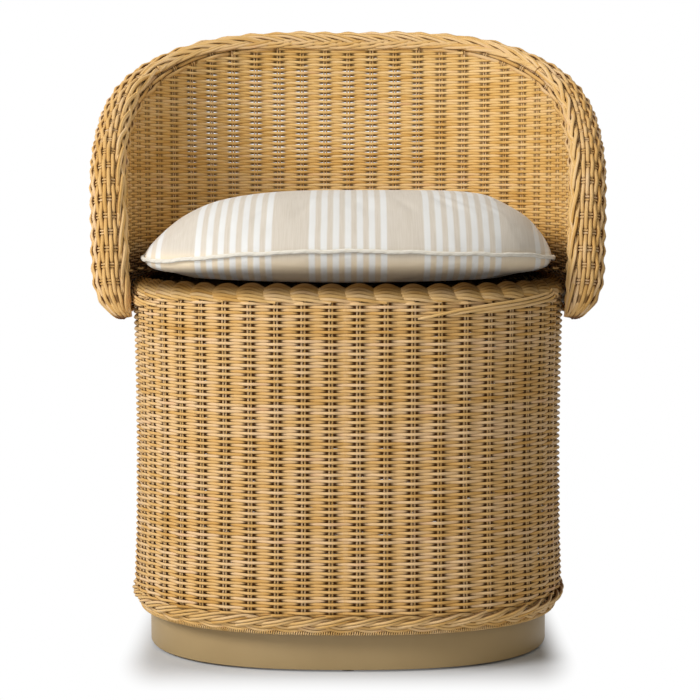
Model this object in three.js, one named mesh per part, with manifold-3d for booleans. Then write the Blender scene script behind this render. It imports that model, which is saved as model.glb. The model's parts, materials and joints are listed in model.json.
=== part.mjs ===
// Outdoor dining chair: a woven barrel armchair on an oval plinth, with a loose cushion.
// Millimetres, +Z up, the sitter faces -Y. The origin is the middle of the footprint, on the floor.

import * as THREE from 'three';
import { mergeVertices } from 'three/addons/utils/BufferGeometryUtils.js';
import Module from 'manifold-3d';

const wasm = await Module();
wasm.setup();

// Driving sizes of the chair
const baseHalfWidth = 277;
const baseHalfDepth = 251;
const planPower = 2.5;
const deckTop = 464;
const hemBottom = 48;
const rimTop = 787;
const tipBottom = 419;

// Clearance between pieces that touch, and the overrun of cutters
const seat = 0.3;
const overrun = 4;

// Woven walls: thickness of the drum's skin, of the seat deck and of the back's one layer
const drumWall = 10;
const deckThick = 8;
const backThick = 10;

// The drum's outside, as offsets from its waist
const topFlare = 2.5;
const hemBulge = 4;
const bulgeAboveHem = 30;
const rimRadius = 13;
const rimStand = 10;
const rimLand = 24;
const tuckIn = 9;
const tuckWall = 3;

// Frame tubes, as radii
const ringTube = 12.5;
const postTube = 11;
const barTube = 10;
const hoopTube = 12.5;
const railTube = 8;
const stubTube = 7;
const railAboveRing = 3;
const barSpacing = 100;

// Plinth
const plinthTop = 55;
const plinthSideRecess = 17;
const plinthFrontRecess = 27;
const plinthSheet = 3;
const plinthFlange = 40;

// Brackets that stand on the plinth's top flange and carry the bottom ring, and their screws
const bracketWidth = 34;
const bracketSheet = 4;
const bracketInner = 38;
const bracketOuter = 3;
const screwShank = 3;
const screwHead = 6;
const screwHeadHeight = 3;
const screwTail = 5;
const screwInset = 28;

// Glides under the plinth
const glideHeight = 3;
const glideRadius = 11;
const glideInset = 18;

// Back shell: room between the drum and the shell, and the roll along its edge
const shellSideRoom = 7;
const shellBackRoom = 5;
const armReach = 540;
const rollRadius = 23;
const rollProud = 1;
const tipLength = 60;
const tipRadius = 3;
const hoopShort = 18;
const railCover = 4;
const pocketBelowRail = 13;
const pocketShoulder = 36;

// Plaits: half their width and half their thickness
const plaitHalfWidth = 9;
const plaitHalfThick = 4.5;
const plaitSink = 2;
const hemPlaitHalfWidth = 13;
const hemPlaitHalfThick = 5;
const hemPlaitAbove = 10;
const hemPlaitIn = 4.5;
const backPlaitHalfWidth = 9;
const backPlaitHalfThick = 4;

// Cushion: its room inside the drum's outline at each side and end, and its own sizes
const cushionSideRoom = 8;
const cushionEndRoom = 21;
const cushionBack = 7;
const cushionPower = 2.9;
const seamAbove = 36;
const seamArch = 14;
const crownAbove = 121;
const bellyRise = 9;
const coverCloth = 2;
const weltRadius = 3;
const sideDraw = 5;

// Facets along the rail, and round the rings, the other tubes, round pieces, the back's edge, the roll
// and the cushion
const railFacets = 34;
const ringFacets = 8;
const tubeFacets = 6;
const roundFacets = 10;
const edgeFacets = 44;
const rollFacets = 12;
const cushionFacets = 32;

// Weave: the stakes round the drum, how far the first stands past the front middle, their pitch on the
// back, and the depth of the furrows between the ribs that the strands make over them
const drumStakes = 52;
const firstStakeShare = 0.38;
const backStakePitch = 33;
const furrowDepth = 3.2;

// Positions worked out from the sizes
const shellHalfWidth = baseHalfWidth + shellSideRoom;
const shellHalfDepth = baseHalfDepth + shellBackRoom;
const rollOffset = rollRadius - rollProud;
const frontReach = baseHalfDepth + hemBulge;
const backReach = shellHalfDepth + rollOffset + rollRadius;
const centreY = (frontReach - backReach) / 2;
const ringOffset = -(drumWall + seat + ringTube);
const deckUnder = deckTop - deckThick;
const seatRingZ = deckUnder - seat - ringTube;
const bracketTop = plinthTop + seat + bracketSheet;
const bottomRingZ = bracketTop + seat + ringTube;
const railOffset = railCover + seat + railTube;
const railZ = seatRingZ + railAboveRing;
const pocketBottom = railZ - pocketBelowRail;
const cushionHalfWidth = baseHalfWidth - cushionSideRoom;
const cushionHalfDepth = baseHalfDepth - cushionEndRoom;

// A superellipse in plan, with its place and outward normal at any distance run from the front middle.
function planCurve(halfWidth, halfDepth, power, middleY) {
  const fine = 1440;
  const points = Array.from({ length: fine + 1 }, (_, i) => {
    const angle = (2 * Math.PI * i) / fine - Math.PI / 2;
    const c = Math.cos(angle);
    const s = Math.sin(angle);
    return new THREE.Vector2(
      halfWidth * Math.sign(c) * Math.abs(c) ** (2 / power),
      halfDepth * Math.sign(s) * Math.abs(s) ** (2 / power),
    );
  });
  const run = [0];
  for (let i = 1; i <= fine; i++) {
    run.push(run[i - 1] + points[i].distanceTo(points[i - 1]));
  }
  const total = run[fine];
  const at = (distance) => {
    const wrapped = ((distance % total) + total) % total;
    const i = Math.max(1, run.findIndex((value) => value >= wrapped));
    const p = points[i - 1].clone();
    p.lerp(points[i], (wrapped - run[i - 1]) / (run[i] - run[i - 1]));
    const gradient = new THREE.Vector2(
      (Math.sign(p.x) * Math.abs(p.x / halfWidth) ** (power - 1)) / halfWidth,
      (Math.sign(p.y) * Math.abs(p.y / halfDepth) ** (power - 1)) / halfDepth,
    ).normalize();
    return {
      place: new THREE.Vector3(p.x, p.y + middleY, 0),
      normal: new THREE.Vector3(gradient.x, gradient.y, 0),
    };
  };
  return { at, total };
}

// The point of a plan curve at a distance run, moved out by an offset and up to a height.
function planPoint(curve, distance, offset, height) {
  const { place, normal } = curve.at(distance);
  return place.addScaledVector(normal, offset).setZ(height);
}

// The value between two others up to which a test holds.
function lastWhere(from, to, holds) {
  let [low, high] = [from, to];
  const halvings = 40;
  for (let i = 0; i < halvings; i++) {
    const middle = (low + high) / 2;
    if (holds(middle)) low = middle;
    else high = middle;
  }
  return low;
}

// The distance run, on the right-hand half of a plan curve, at which an offset point reaches a depth.
function runAtDepth(curve, offset, depth) {
  return lastWhere(0, curve.total / 2, (run) => planPoint(curve, run, offset, 0).y < depth);
}

// The distance run at a stake, or midway between two where its number ends in a half.
const runAtStake = (curve, stake) => (curve.total * (stake + firstStakeShare)) / drumStakes;

const drumPlan = planCurve(baseHalfWidth, baseHalfDepth, planPower, centreY);
const plinthPlan = planCurve(
  baseHalfWidth - plinthSideRecess,
  baseHalfDepth - plinthFrontRecess,
  planPower,
  centreY,
);
const shellPlan = planCurve(shellHalfWidth, shellHalfDepth, planPower, centreY);

// Triangles between rows of points. Rows and columns may each close on themselves.
function skin(rows, closeRows) {
  const width = rows[0].length;
  const faces = [];
  for (let r = 0; r < (closeRows ? rows.length : rows.length - 1); r++) {
    for (let c = 0; c < width; c++) {
      const here = r * width + c;
      const beside = r * width + ((c + 1) % width);
      const above = ((r + 1) % rows.length) * width + c;
      const across = ((r + 1) % rows.length) * width + ((c + 1) % width);
      faces.push([here, beside, across], [here, across, above]);
    }
  }
  return { points: rows.flat(), faces };
}

// An indexed geometry of points and faces, turned so that its faces point outwards.
function closedGeometry({ points, faces }) {
  let volume = 0;
  for (const [a, b, c] of faces) {
    volume += points[a].dot(points[b].clone().cross(points[c]));
  }
  const geometry = new THREE.BufferGeometry();
  const places = points.flatMap((p) => p.toArray());
  geometry.setAttribute('position', new THREE.Float32BufferAttribute(places, 3));
  geometry.setIndex(faces.flatMap(([a, b, c]) => (volume < 0 ? [a, c, b] : [a, b, c])));
  return geometry;
}

// A ring: a section of [offset, height] points carried right round a plan curve, from stake to stake.
function ringSolid(curve, section) {
  const rows = Array.from({ length: drumStakes }, (_, i) =>
    section.map(([offset, z]) => planPoint(curve, runAtStake(curve, i), offset, z)),
  );
  return closedGeometry(skin(rows, true));
}

// A ring with ribs. Each level of its section has a crest at the stakes, and where it has a furrow too,
// the surface falls back to that midway between them.
function ribbedRing(curve, levels) {
  const points = [];
  const loops = levels.map(({ crest, furrow }) =>
    Array.from({ length: drumStakes }, (_, i) => {
      const here = points.push(planPoint(curve, runAtStake(curve, i), ...crest)) - 1;
      if (!furrow) return [here, here];
      points.push(planPoint(curve, runAtStake(curve, i + 1 / 2), ...furrow));
      return [here, here + 1];
    }).flat(),
  );
  const faces = loops.flatMap((loop, level) => {
    const above = loops[(level + 1) % loops.length];
    return loop.flatMap((here, c) => {
      const next = (c + 1) % loop.length;
      const pair = [
        [here, loop[next], above[next]],
        [here, above[next], above[c]],
      ];
      return pair.filter((face) => new Set(face).size === face.length);
    });
  });
  return closedGeometry({ points, faces });
}

// A solid through rows of points, with a fan over its first and its last row.
function rowSolid(rows) {
  const { points, faces } = skin(rows, false);
  const width = rows[0].length;
  const first = points.length;
  const last = (rows.length - 1) * width;
  for (const row of [rows[0], rows[rows.length - 1]]) {
    points.push(row.reduce((sum, p) => sum.add(p), new THREE.Vector3()).divideScalar(width));
  }
  for (let c = 0; c < width; c++) {
    const next = (c + 1) % width;
    faces.push([first, next, c], [first + 1, last + c, last + next]);
  }
  return closedGeometry({ points, faces });
}

// An ellipse section as [across, up] points, turned by an angle.
function ellipse(middleAcross, middleUp, halfAcross, halfUp, count, turn) {
  return Array.from({ length: count }, (_, i) => {
    const angle = (2 * Math.PI * i) / count;
    const u = halfAcross * Math.cos(angle);
    const v = halfUp * Math.sin(angle);
    return [
      middleAcross + u * Math.cos(turn) - v * Math.sin(turn),
      middleUp + u * Math.sin(turn) + v * Math.cos(turn),
    ];
  });
}

// A round bar between two points.
function bar(from, to, radius) {
  const along = to.clone().sub(from);
  const turn = new THREE.Quaternion().setFromUnitVectors(
    new THREE.Vector3(0, 1, 0),
    along.clone().normalize(),
  );
  const middle = from.clone().add(to).divideScalar(2);
  return new THREE.CylinderGeometry(radius, radius, along.length(), roundFacets)
    .applyQuaternion(turn)
    .translate(middle.x, middle.y, middle.z);
}

// A geometry as a solid that can be joined and cut.
function solidOf(geometry) {
  const bare = geometry.clone();
  bare.deleteAttribute('normal');
  bare.deleteAttribute('uv');
  const merged = mergeVertices(bare);
  return new wasm.Manifold(
    new wasm.Mesh({
      numProp: 3,
      vertProperties: new Float32Array(merged.getAttribute('position').array),
      triVerts: new Uint32Array(merged.getIndex().array),
    }),
  );
}

// A geometry with each of the cutters taken away from it.
function cut(geometry, cutters) {
  const left = cutters.reduce((body, cutter) => body.subtract(solidOf(cutter)), solidOf(geometry));
  const mesh = left.getMesh();
  const result = new THREE.BufferGeometry();
  result.setAttribute('position', new THREE.BufferAttribute(mesh.vertProperties, mesh.numProp));
  result.setIndex(new THREE.BufferAttribute(mesh.triVerts, 1));
  return result;
}

const chair = new THREE.Group();

// Finishes
const finishes = {
  wicker: { color: 0xc79a5b, roughness: 0.6, metalness: 0 },
  plait: { color: 0xbf9152, roughness: 0.6, metalness: 0 },
  tubes: { color: 0x8d8f90, roughness: 0.45, metalness: 0.9 },
  paint: { color: 0x9a8663, roughness: 0.5, metalness: 0.1 },
  steel: { color: 0xa9abad, roughness: 0.35, metalness: 1 },
  glide: { color: 0x2b2b2b, roughness: 0.6, metalness: 0 },
  cloth: { color: 0xd9c7b0, roughness: 0.9, metalness: 0 },
  welt: { color: 0xeee8dd, roughness: 0.9, metalness: 0 },
  foam: { color: 0xe9e2cc, roughness: 0.95, metalness: 0 },
};

// Adds a named piece with its finish.
function addPiece(name, geometry, finish) {
  const mesh = new THREE.Mesh(geometry, new THREE.MeshStandardMaterial(finish));
  mesh.name = name;
  chair.add(mesh);
}

// Frame: the bottom ring and the seat ring, two ovals of tube
const tubeSection = (offset, z, radius) => ellipse(offset, z, radius, radius, ringFacets, 0);
const bottomRingCutter = ringSolid(drumPlan, tubeSection(ringOffset, bottomRingZ, ringTube + seat));
const seatRingCutter = ringSolid(drumPlan, tubeSection(ringOffset, seatRingZ, ringTube + seat));
addPiece(
  'frame_bottom_ring',
  ringSolid(drumPlan, tubeSection(ringOffset, bottomRingZ, ringTube)),
  finishes.tubes,
);
addPiece(
  'frame_seat_ring',
  ringSolid(drumPlan, tubeSection(ringOffset, seatRingZ, ringTube)),
  finishes.tubes,
);

// Frame: six posts between the rings, coped to both. A bracket stands at each of them.
const postCount = 6;
const postRuns = Array.from({ length: postCount }, (_, i) => i / postCount);
postRuns.forEach((share, i) => {
  const low = planPoint(drumPlan, drumPlan.total * share, ringOffset, bottomRingZ);
  const high = low.clone().setZ(seatRingZ);
  addPiece(
    `frame_post_${i + 1}`,
    cut(bar(low, high, postTube), [bottomRingCutter, seatRingCutter]),
    finishes.tubes,
  );
});

// Frame: three bars across the seat ring, their tops level with its top, coped to it
const barZ = seatRingZ + ringTube - barTube;
[-1, 0, 1].forEach((step, i) => {
  const y = step * barSpacing;
  const endOffset = ringOffset - ringTube / 2;
  const end = planPoint(drumPlan, runAtDepth(drumPlan, endOffset, centreY + y), endOffset, barZ);
  const start = end.clone().setX(-end.x);
  addPiece(`seat_cross_bar_${i + 1}`, cut(bar(start, end, barTube), [seatRingCutter]), finishes.tubes);
});

// Brackets: a plate on the plinth's top flange, welded under the bottom ring's inner side.
// Each is held to the flange by a screw.
const screws = postRuns.map((share) => {
  const { place, normal } = plinthPlan.at(plinthPlan.total * share);
  return { place, inward: normal.negate() };
});
screws.forEach(({ place, inward }, i) => {
  const across = new THREE.Vector3(0, 0, 1).cross(inward).setLength(bracketWidth / 2);
  const corners = [
    [bracketOuter, 1],
    [bracketInner, 1],
    [bracketInner, -1],
    [bracketOuter, -1],
  ];
  const plate = [plinthTop + seat, bracketTop].map((z) =>
    corners.map(([inset, side]) =>
      place.clone().addScaledVector(inward, inset).addScaledVector(across, side).setZ(z),
    ),
  );
  const axis = place.clone().addScaledVector(inward, screwInset);
  const hole = bar(
    axis.clone().setZ(plinthTop - overrun),
    axis.clone().setZ(bracketTop + overrun),
    screwShank + seat,
  );
  addPiece(`ring_bracket_${i + 1}`, cut(rowSolid(plate), [hole]), finishes.steel);
});

// Screws: a head on the bracket and a shank through bracket and flange
const underFlange = plinthTop - plinthSheet;
screws.forEach(({ place, inward }, i) => {
  const axis = place.clone().addScaledVector(inward, screwInset);
  const headFoot = bracketTop + seat;
  const profile = [
    [0, underFlange - screwTail],
    [screwShank, underFlange - screwTail],
    [screwShank, headFoot],
    [screwHead, headFoot],
    [screwHead, headFoot + screwHeadHeight],
    [0, headFoot + screwHeadHeight],
  ].map(([radius, z]) => new THREE.Vector2(radius, z));
  const screw = new THREE.LatheGeometry(profile, roundFacets).rotateX(Math.PI / 2);
  addPiece(`bracket_screw_${i + 1}`, screw.translate(axis.x, axis.y, 0), finishes.steel);
});

// Plinth: a wall, a flange inside its top that is drilled for the screws, and one inside its foot
const flangeHoles = screws.map(({ place, inward }) => {
  const axis = place.clone().addScaledVector(inward, screwInset);
  return bar(
    axis.clone().setZ(underFlange - overrun),
    axis.clone().setZ(plinthTop + overrun),
    screwShank + seat,
  );
});
const plinthSection = (outer, inner, bottom, top) =>
  ringSolid(plinthPlan, [
    [outer, bottom],
    [outer, top],
    [inner, top],
    [inner, bottom],
  ]);
const flangeAt = (top) =>
  plinthSection(-(plinthSheet + seat), -plinthFlange, top - plinthSheet, top);
const plinthWall = plinthSection(0, -plinthSheet, glideHeight, plinthTop);
addPiece('plinth_wall', plinthWall, finishes.paint);
addPiece('plinth_top_flange', cut(flangeAt(plinthTop), flangeHoles), finishes.paint);
addPiece('plinth_foot_flange', flangeAt(glideHeight + plinthSheet), finishes.paint);

// Glides under the foot flange
postRuns.forEach((share, i) => {
  const foot = planPoint(plinthPlan, plinthPlan.total * share, -glideInset, 0);
  addPiece(`glide_${i + 1}`, bar(foot, foot.clone().setZ(glideHeight), glideRadius), finishes.glide);
});

// The back's edge, unrolled: shares of the arm's reach round the plan and of the rise from tip to top
const edgeShares = [
  [0, 1],
  [0.17, 1],
  [0.35, 0.965],
  [0.526, 0.868],
  [0.66, 0.762],
  [0.79, 0.636],
  [0.875, 0.544],
  [0.925, 0.44],
  [0.955, 0.3],
  [0.978, 0.15],
  [1, 0],
];
const edgeRise = rimTop - tipBottom;
const halfEdge = edgeShares.map(
  ([reach, rise]) => new THREE.Vector3(reach * armReach, tipBottom + rise * edgeRise, 0),
);
const wholeEdge = [
  ...halfEdge
    .slice(1)
    .reverse()
    .map((p) => new THREE.Vector3(-p.x, p.y, 0)),
  ...halfEdge,
];
const edgeCurve = new THREE.CatmullRomCurve3(wholeEdge, false, 'centripetal');
edgeCurve.arcLengthDivisions = 800;
const backMiddle = shellPlan.total / 2;

// A station of the back's edge: its place, and the directions out of the shell and off the edge.
// The roll draws in to a round nose at both tips.
const edgeLength = edgeCurve.getLength();
function edgeStation(run) {
  const share = run / edgeLength;
  const flat = edgeCurve.getPointAt(share);
  const slope = edgeCurve.getTangentAt(share);
  const { place, normal } = shellPlan.at(backMiddle + flat.x);
  const along = new THREE.Vector3(-normal.y, normal.x, 0).multiplyScalar(slope.x).setZ(slope.y);
  const off = along.clone().cross(normal).normalize().negate();
  const nose = Math.min(1, Math.min(run, edgeLength - run) / tipLength);
  const radius = tipRadius + (rollRadius - tipRadius) * Math.sqrt(1 - (1 - nose) ** 2);
  return { flat, place: place.setZ(flat.y), normal, off, radius };
}

// Runs along the edge from one place to the same place of the other arm, through the shared stations.
function runsBetween(start) {
  const inner = Array.from({ length: edgeFacets + 1 }, (_, i) => (i * edgeLength) / edgeFacets);
  return [start, ...inner.filter((run) => run > start && run < edgeLength - start), edgeLength - start];
}

// The point round a station's roll centre. Angle 0 points into the seat, a quarter turn off the edge.
function rollPoint(station, distance, angle) {
  return station.place
    .clone()
    .addScaledVector(station.normal, station.radius - rollProud - distance * Math.cos(angle))
    .addScaledVector(station.off, distance * Math.sin(angle));
}

// A round solid along the edge, from a run to the same place of the other arm.
function edgeTube(runs, radiusAt, count) {
  const rows = runs.map((run) => {
    const station = edgeStation(run);
    return Array.from({ length: count }, (_, i) =>
      rollPoint(station, radiusAt(station), (2 * Math.PI * i) / count),
    );
  });
  return rowSolid(rows);
}

// Frame: the hoop inside the roll
const hoopCutter = edgeTube(runsBetween(hoopShort - seat), () => hoopTube + seat, tubeFacets);
addPiece('back_hoop', edgeTube(runsBetween(hoopShort), () => hoopTube, tubeFacets), finishes.tubes);

// Frame: the lower rail of the back, which ends inside the roll, coped to the hoop
const railEnd = edgeStation(
  runsBetween(0).find((run) => edgeStation(run).flat.y >= railZ),
).flat.x;
const railRuns = Array.from({ length: railFacets }, (_, i) => railEnd * (1 - (2 * i) / (railFacets - 1)));
const railSolid = (radius) =>
  rowSolid(
    railRuns.map((run) =>
      tubeSection(railOffset, railZ, radius).map(([offset, z]) =>
        planPoint(shellPlan, backMiddle + run, offset, z),
      ),
    ),
  );
const railCutter = railSolid(railTube + seat);
addPiece('back_lower_rail', cut(railSolid(railTube), [hoopCutter]), finishes.tubes);

// Frame: stubs from the seat ring out through the drum's wall to the rail
const stubShares = [-0.82, -0.47, -0.13, 0.13, 0.47, 0.82];
const stubs = stubShares.map((share) => {
  const outer = planPoint(shellPlan, backMiddle + share * railEnd, railOffset, railZ);
  const shareRound = (backMiddle + share * railEnd) / shellPlan.total;
  const inner = planPoint(drumPlan, drumPlan.total * shareRound, ringOffset, railZ);
  return { inner, outer };
});
const stubCutters = stubs.map(({ inner, outer }) => bar(inner, outer, stubTube + seat));
stubs.forEach(({ inner, outer }, i) => {
  const piece = cut(bar(inner, outer, stubTube), [seatRingCutter, railCutter]);
  addPiece(`back_stub_${i + 1}`, piece, finishes.tubes);
});

// The drum's woven skin: a flared wall with a rib over each stake. It rolls over the seat ring and
// tucks under at the hem.
const bulgeZ = hemBottom + bulgeAboveHem;
const crestZ = deckTop + rimStand;
const arcZ = crestZ - rimRadius;
const rimArc = (depth) =>
  Array.from({ length: 4 }, (_, i) => {
    const angle = (i * Math.PI) / 6;
    const radius = rimRadius - depth;
    return [topFlare - rimRadius + radius * Math.cos(angle), arcZ + radius * Math.sin(angle)];
  });
const tuckShares = [
  [1, 0.13],
  [0.72, 0.35],
  [0.42, 0.68],
];
const tuckPoints = tuckShares.map(([inShare, upShare]) => [
  hemBulge - inShare * (hemBulge + tuckIn),
  hemBottom + upShare * bulgeAboveHem,
]);
const wallHeight = arcZ - bulgeZ;
const wallOutside = (depth) => [
  [hemBulge - depth, bulgeZ],
  [hemBulge / 3 - depth, bulgeZ + wallHeight / 5],
  [-depth, bulgeZ + wallHeight / 2],
  ...rimArc(depth),
];
const wallFurrows = wallOutside(furrowDepth);
const drumInside = [
  [-rimLand, deckTop + rimStand / 2],
  [-rimLand, deckUnder],
  [-drumWall, deckUnder],
  [-drumWall, bulgeZ + wallHeight / 2],
  [hemBulge - drumWall, bulgeZ],
  ...tuckPoints.map(([offset, z]) => [offset - tuckWall, z + tuckWall]).reverse(),
];
const drumSkin = ribbedRing(drumPlan, [
  ...tuckPoints.map((crest) => ({ crest })),
  ...wallOutside(0).map((crest, i) => ({ crest, furrow: wallFurrows[i] })),
  ...drumInside.map((crest) => ({ crest })),
]);
addPiece('drum_weave', cut(drumSkin, stubCutters), finishes.wicker);

// The hem's plait, laid in the tuck under the bulge
const plaitTurn = (Math.PI * 5) / 18;
const hemPlait = ellipse(
  -hemPlaitIn,
  hemBottom + hemPlaitAbove,
  hemPlaitHalfWidth,
  hemPlaitHalfThick,
  tubeFacets,
  plaitTurn,
);
const tuckGrown = [...tuckPoints, [hemBulge, bulgeZ]].map(([offset, z]) => [offset + seat, z - seat]);
const tuckCutter = ringSolid(drumPlan, [
  ...tuckGrown,
  [-rimLand, bulgeZ],
  [-rimLand, tuckGrown[0][1]],
]);
addPiece('drum_hem_plait', cut(ringSolid(drumPlan, hemPlait), [tuckCutter]), finishes.plait);

// The woven seat deck on the ring and its bars
const deckRows = [deckUnder, deckTop].map((z) =>
  Array.from({ length: drumStakes }, (_, i) =>
    planPoint(drumPlan, runAtStake(drumPlan, i), -rimLand - seat, z),
  ),
);
addPiece('seat_deck_weave', rowSolid(deckRows), finishes.wicker);

// The back's woven layer: a thin wall with a rib over each stake on both faces and a pocket round the
// rail, cut away where the roll lies.
const rollRuns = [
  ...[0, 0.05, 0.13, 0.26, 0.45, 0.7].map((share) => share * tipLength),
  ...runsBetween(tipLength).slice(1, -1),
  ...[0.7, 0.45, 0.26, 0.13, 0.05, 0].map((share) => edgeLength - share * tipLength),
];
const rollCutter = edgeTube(rollRuns, (station) => station.radius + seat, rollFacets);
const pocketOut = railOffset + railTube + seat + railCover;
const wallColumns = runsBetween(0)
  .map((run) => edgeStation(run).flat)
  .filter((flat) => flat.y > railZ + railTube);
const wallEnd = lastWhere(edgeLength / 2, edgeLength, (run) => edgeStation(run).flat.y > railZ + railTube);
const wallReach = edgeStation(wallEnd).flat.x;
const ribCount = 2 * Math.floor(wallReach / backStakePitch);
const ribColumns = Array.from({ length: 2 * ribCount + 1 }, (_, i) => ({
  across: ((i - ribCount) * backStakePitch) / 2,
  depth: i % 2 ? furrowDepth : 0,
}));
const backColumns = [{ across: -wallReach, depth: 0 }, ...ribColumns, { across: wallReach, depth: 0 }];
const backRows = backColumns.map(({ across, depth }) => {
  const run = lastWhere(0, edgeLength, (value) => edgeStation(value).flat.x < across);
  const { flat } = edgeStation(run);
  const shoulder = Math.min(railZ + pocketShoulder, flat.y - seat);
  const section = [
    [0, pocketBottom],
    [depth, shoulder],
    [depth, flat.y],
    [backThick - depth, flat.y],
    [backThick - depth, shoulder],
    [pocketOut * 0.85, railZ + railTube],
    [pocketOut, railZ],
    [pocketOut * 0.85, pocketBottom + railCover / 2],
    [pocketOut / 2, pocketBottom - railCover / 2],
  ];
  return section.map(([offset, z]) => planPoint(shellPlan, backMiddle + flat.x, offset, z));
});
addPiece(
  'back_weave',
  cut(rowSolid(backRows), [rollCutter, railCutter, ...stubCutters]),
  finishes.wicker,
);

// The woven roll round the hoop
const rollSolid = edgeTube(rollRuns, (station) => station.radius, rollFacets);
addPiece('back_roll_weave', cut(rollSolid, [hoopCutter, railCutter]), finishes.wicker);

// The plait along the roll's inner side. It climbs from the top of the back to the front of the arms.
const plaitAtTop = Math.PI / 9;
const plaitAtArm = (Math.PI * 2) / 9;
const plaitRuns = runsBetween(tipLength / 3);
const plaitRows = plaitRuns.map((run) => {
  const station = edgeStation(run);
  const lean = THREE.MathUtils.smoothstep(Math.abs(station.flat.x), 0, armReach);
  const angle = THREE.MathUtils.lerp(plaitAtTop, plaitAtArm, lean);
  const shrink = station.radius / rollRadius;
  const middle = station.radius + plaitHalfThick - plaitSink;
  const section = ellipse(0, 0, plaitHalfWidth * shrink, plaitHalfThick, tubeFacets, 0);
  return section.map(([across, up]) => rollPoint(station, middle + up, angle + across / middle));
});
addPiece('back_rim_plait', cut(rowSolid(plaitRows), [rollCutter]), finishes.plait);

// The plait under the back's lower edge
const backPlaitRows = wallColumns.map((flat) =>
  ellipse(
    pocketOut / 2,
    pocketBottom - railCover / 2 - seat - backPlaitHalfThick,
    backPlaitHalfWidth,
    backPlaitHalfThick,
    tubeFacets,
    0,
  ).map(([offset, z]) => planPoint(shellPlan, backMiddle + flat.x, offset, z)),
);
addPiece('back_hem_plait', cut(rowSolid(backPlaitRows), [rollCutter]), finishes.plait);

// The cushion's outline, drawn in between its corners, and its seam, which arches over the front and back
const cushionPlan = planCurve(cushionHalfWidth, cushionHalfDepth, cushionPower, centreY + cushionBack);
const seamZ = deckTop + seamAbove;
const archPower = 1.6;
const cushionStations = Array.from({ length: cushionFacets }, (_, i) => {
  const run = (cushionPlan.total * i) / cushionFacets;
  const { place, normal } = cushionPlan.at(run);
  const corner = (2 * Math.abs(normal.x * normal.y)) ** 2;
  const arch = seamArch * (1 - Math.abs(place.x / cushionHalfWidth) ** archPower);
  place.addScaledVector(normal, -sideDraw * (1 - corner));
  return { place, normal, seam: seamZ + arch };
});
const cushionMiddle = new THREE.Vector3(0, centreY + cushionBack, 0);

// A height of the cushion above or below its seam at a share of the way out, drawn in by an inset.
// Its top and its belly each fall off with their own power. The belly rests on the deck out to its rest
// share, and rises from there outwards.
const crownPower = 3.4;
const crownRound = 0.6;
const bellyPower = 7;
const bellyRound = 0.55;
const restShare = 0.35;
function cushionRow(outShare, inset, fromSeam, upward) {
  const power = upward ? crownPower : bellyPower;
  const round = upward ? crownRound : bellyRound;
  const rise = Math.max(0, 1 - outShare ** power) ** round;
  const lifted = (bellyRise * (outShare - restShare)) / (1 - restShare);
  const belly = deckTop + seat + lifted + inset;
  const target = upward ? deckTop + crownAbove - inset : belly;
  return cushionStations.map(({ place, normal, seam }) => {
    const edge = place.clone().addScaledVector(normal, -inset);
    const edgeZ = seam + fromSeam;
    return cushionMiddle
      .clone()
      .lerp(edge, outShare)
      .setZ(edgeZ + (target - edgeZ) * rise);
  });
}

// A cover: an outer and an inner skin that meet in a flat edge at the seam
const outShares = [restShare, 0.6, 0.8, 0.93, 1];
const halfSeat = seat / 2;
function cover(upward) {
  const fromSeam = upward ? halfSeat : -halfSeat;
  const skins = [0, coverCloth].map((inset) =>
    outShares.map((share) => cushionRow(share, inset, fromSeam, upward)),
  );
  const [first, second] = upward ? skins : skins.reverse();
  return rowSolid([...first, ...second.reverse()]);
}
addPiece('cushion_top_cover', cover(true), finishes.cloth);
addPiece('cushion_bottom_cover', cover(false), finishes.cloth);

// The foam core inside the covers
const coreInset = coverCloth + seat;
addPiece(
  'cushion_core',
  rowSolid([
    ...outShares.map((share) => cushionRow(share, coreInset, -halfSeat, false)),
    ...outShares.map((share) => cushionRow(share, coreInset, halfSeat, true)).reverse(),
  ]),
  finishes.foam,
);

// The welt round the seam
const weltRows = cushionStations.map(({ place, normal, seam }) =>
  ellipse(seat + weltRadius, seam, weltRadius, weltRadius, tubeFacets, 0).map(([offset, z]) =>
    place.clone().addScaledVector(normal, offset).setZ(z),
  ),
);
addPiece('cushion_welt', closedGeometry(skin(weltRows, true)), finishes.welt);

export default chair;
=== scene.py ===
"""Outdoor dining chair: its woven skins, plaits, cushion and finishes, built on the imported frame."""

import json
import logging
import math
from collections.abc import Callable, Iterable
from dataclasses import dataclass, field
from enum import Enum
from functools import cached_property

import bpy
import numpy as np
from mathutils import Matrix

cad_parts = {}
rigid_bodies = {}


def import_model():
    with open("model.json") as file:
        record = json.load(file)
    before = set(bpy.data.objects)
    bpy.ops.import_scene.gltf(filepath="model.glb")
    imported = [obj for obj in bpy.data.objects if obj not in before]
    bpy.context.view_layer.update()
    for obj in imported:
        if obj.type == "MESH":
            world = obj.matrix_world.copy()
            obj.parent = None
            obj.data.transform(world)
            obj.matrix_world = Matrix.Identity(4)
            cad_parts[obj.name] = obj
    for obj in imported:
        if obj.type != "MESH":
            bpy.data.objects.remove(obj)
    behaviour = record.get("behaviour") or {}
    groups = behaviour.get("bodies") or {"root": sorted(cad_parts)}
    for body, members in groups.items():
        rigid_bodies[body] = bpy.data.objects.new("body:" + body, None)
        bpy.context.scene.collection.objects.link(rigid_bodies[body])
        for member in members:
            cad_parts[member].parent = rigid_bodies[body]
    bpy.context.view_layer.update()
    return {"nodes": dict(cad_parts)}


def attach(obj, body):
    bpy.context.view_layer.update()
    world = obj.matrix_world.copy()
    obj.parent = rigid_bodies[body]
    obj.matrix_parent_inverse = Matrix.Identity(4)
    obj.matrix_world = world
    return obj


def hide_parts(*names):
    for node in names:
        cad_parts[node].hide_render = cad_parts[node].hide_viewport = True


for leftover in list(bpy.data.objects):
    bpy.data.objects.remove(leftover)
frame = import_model()

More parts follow.
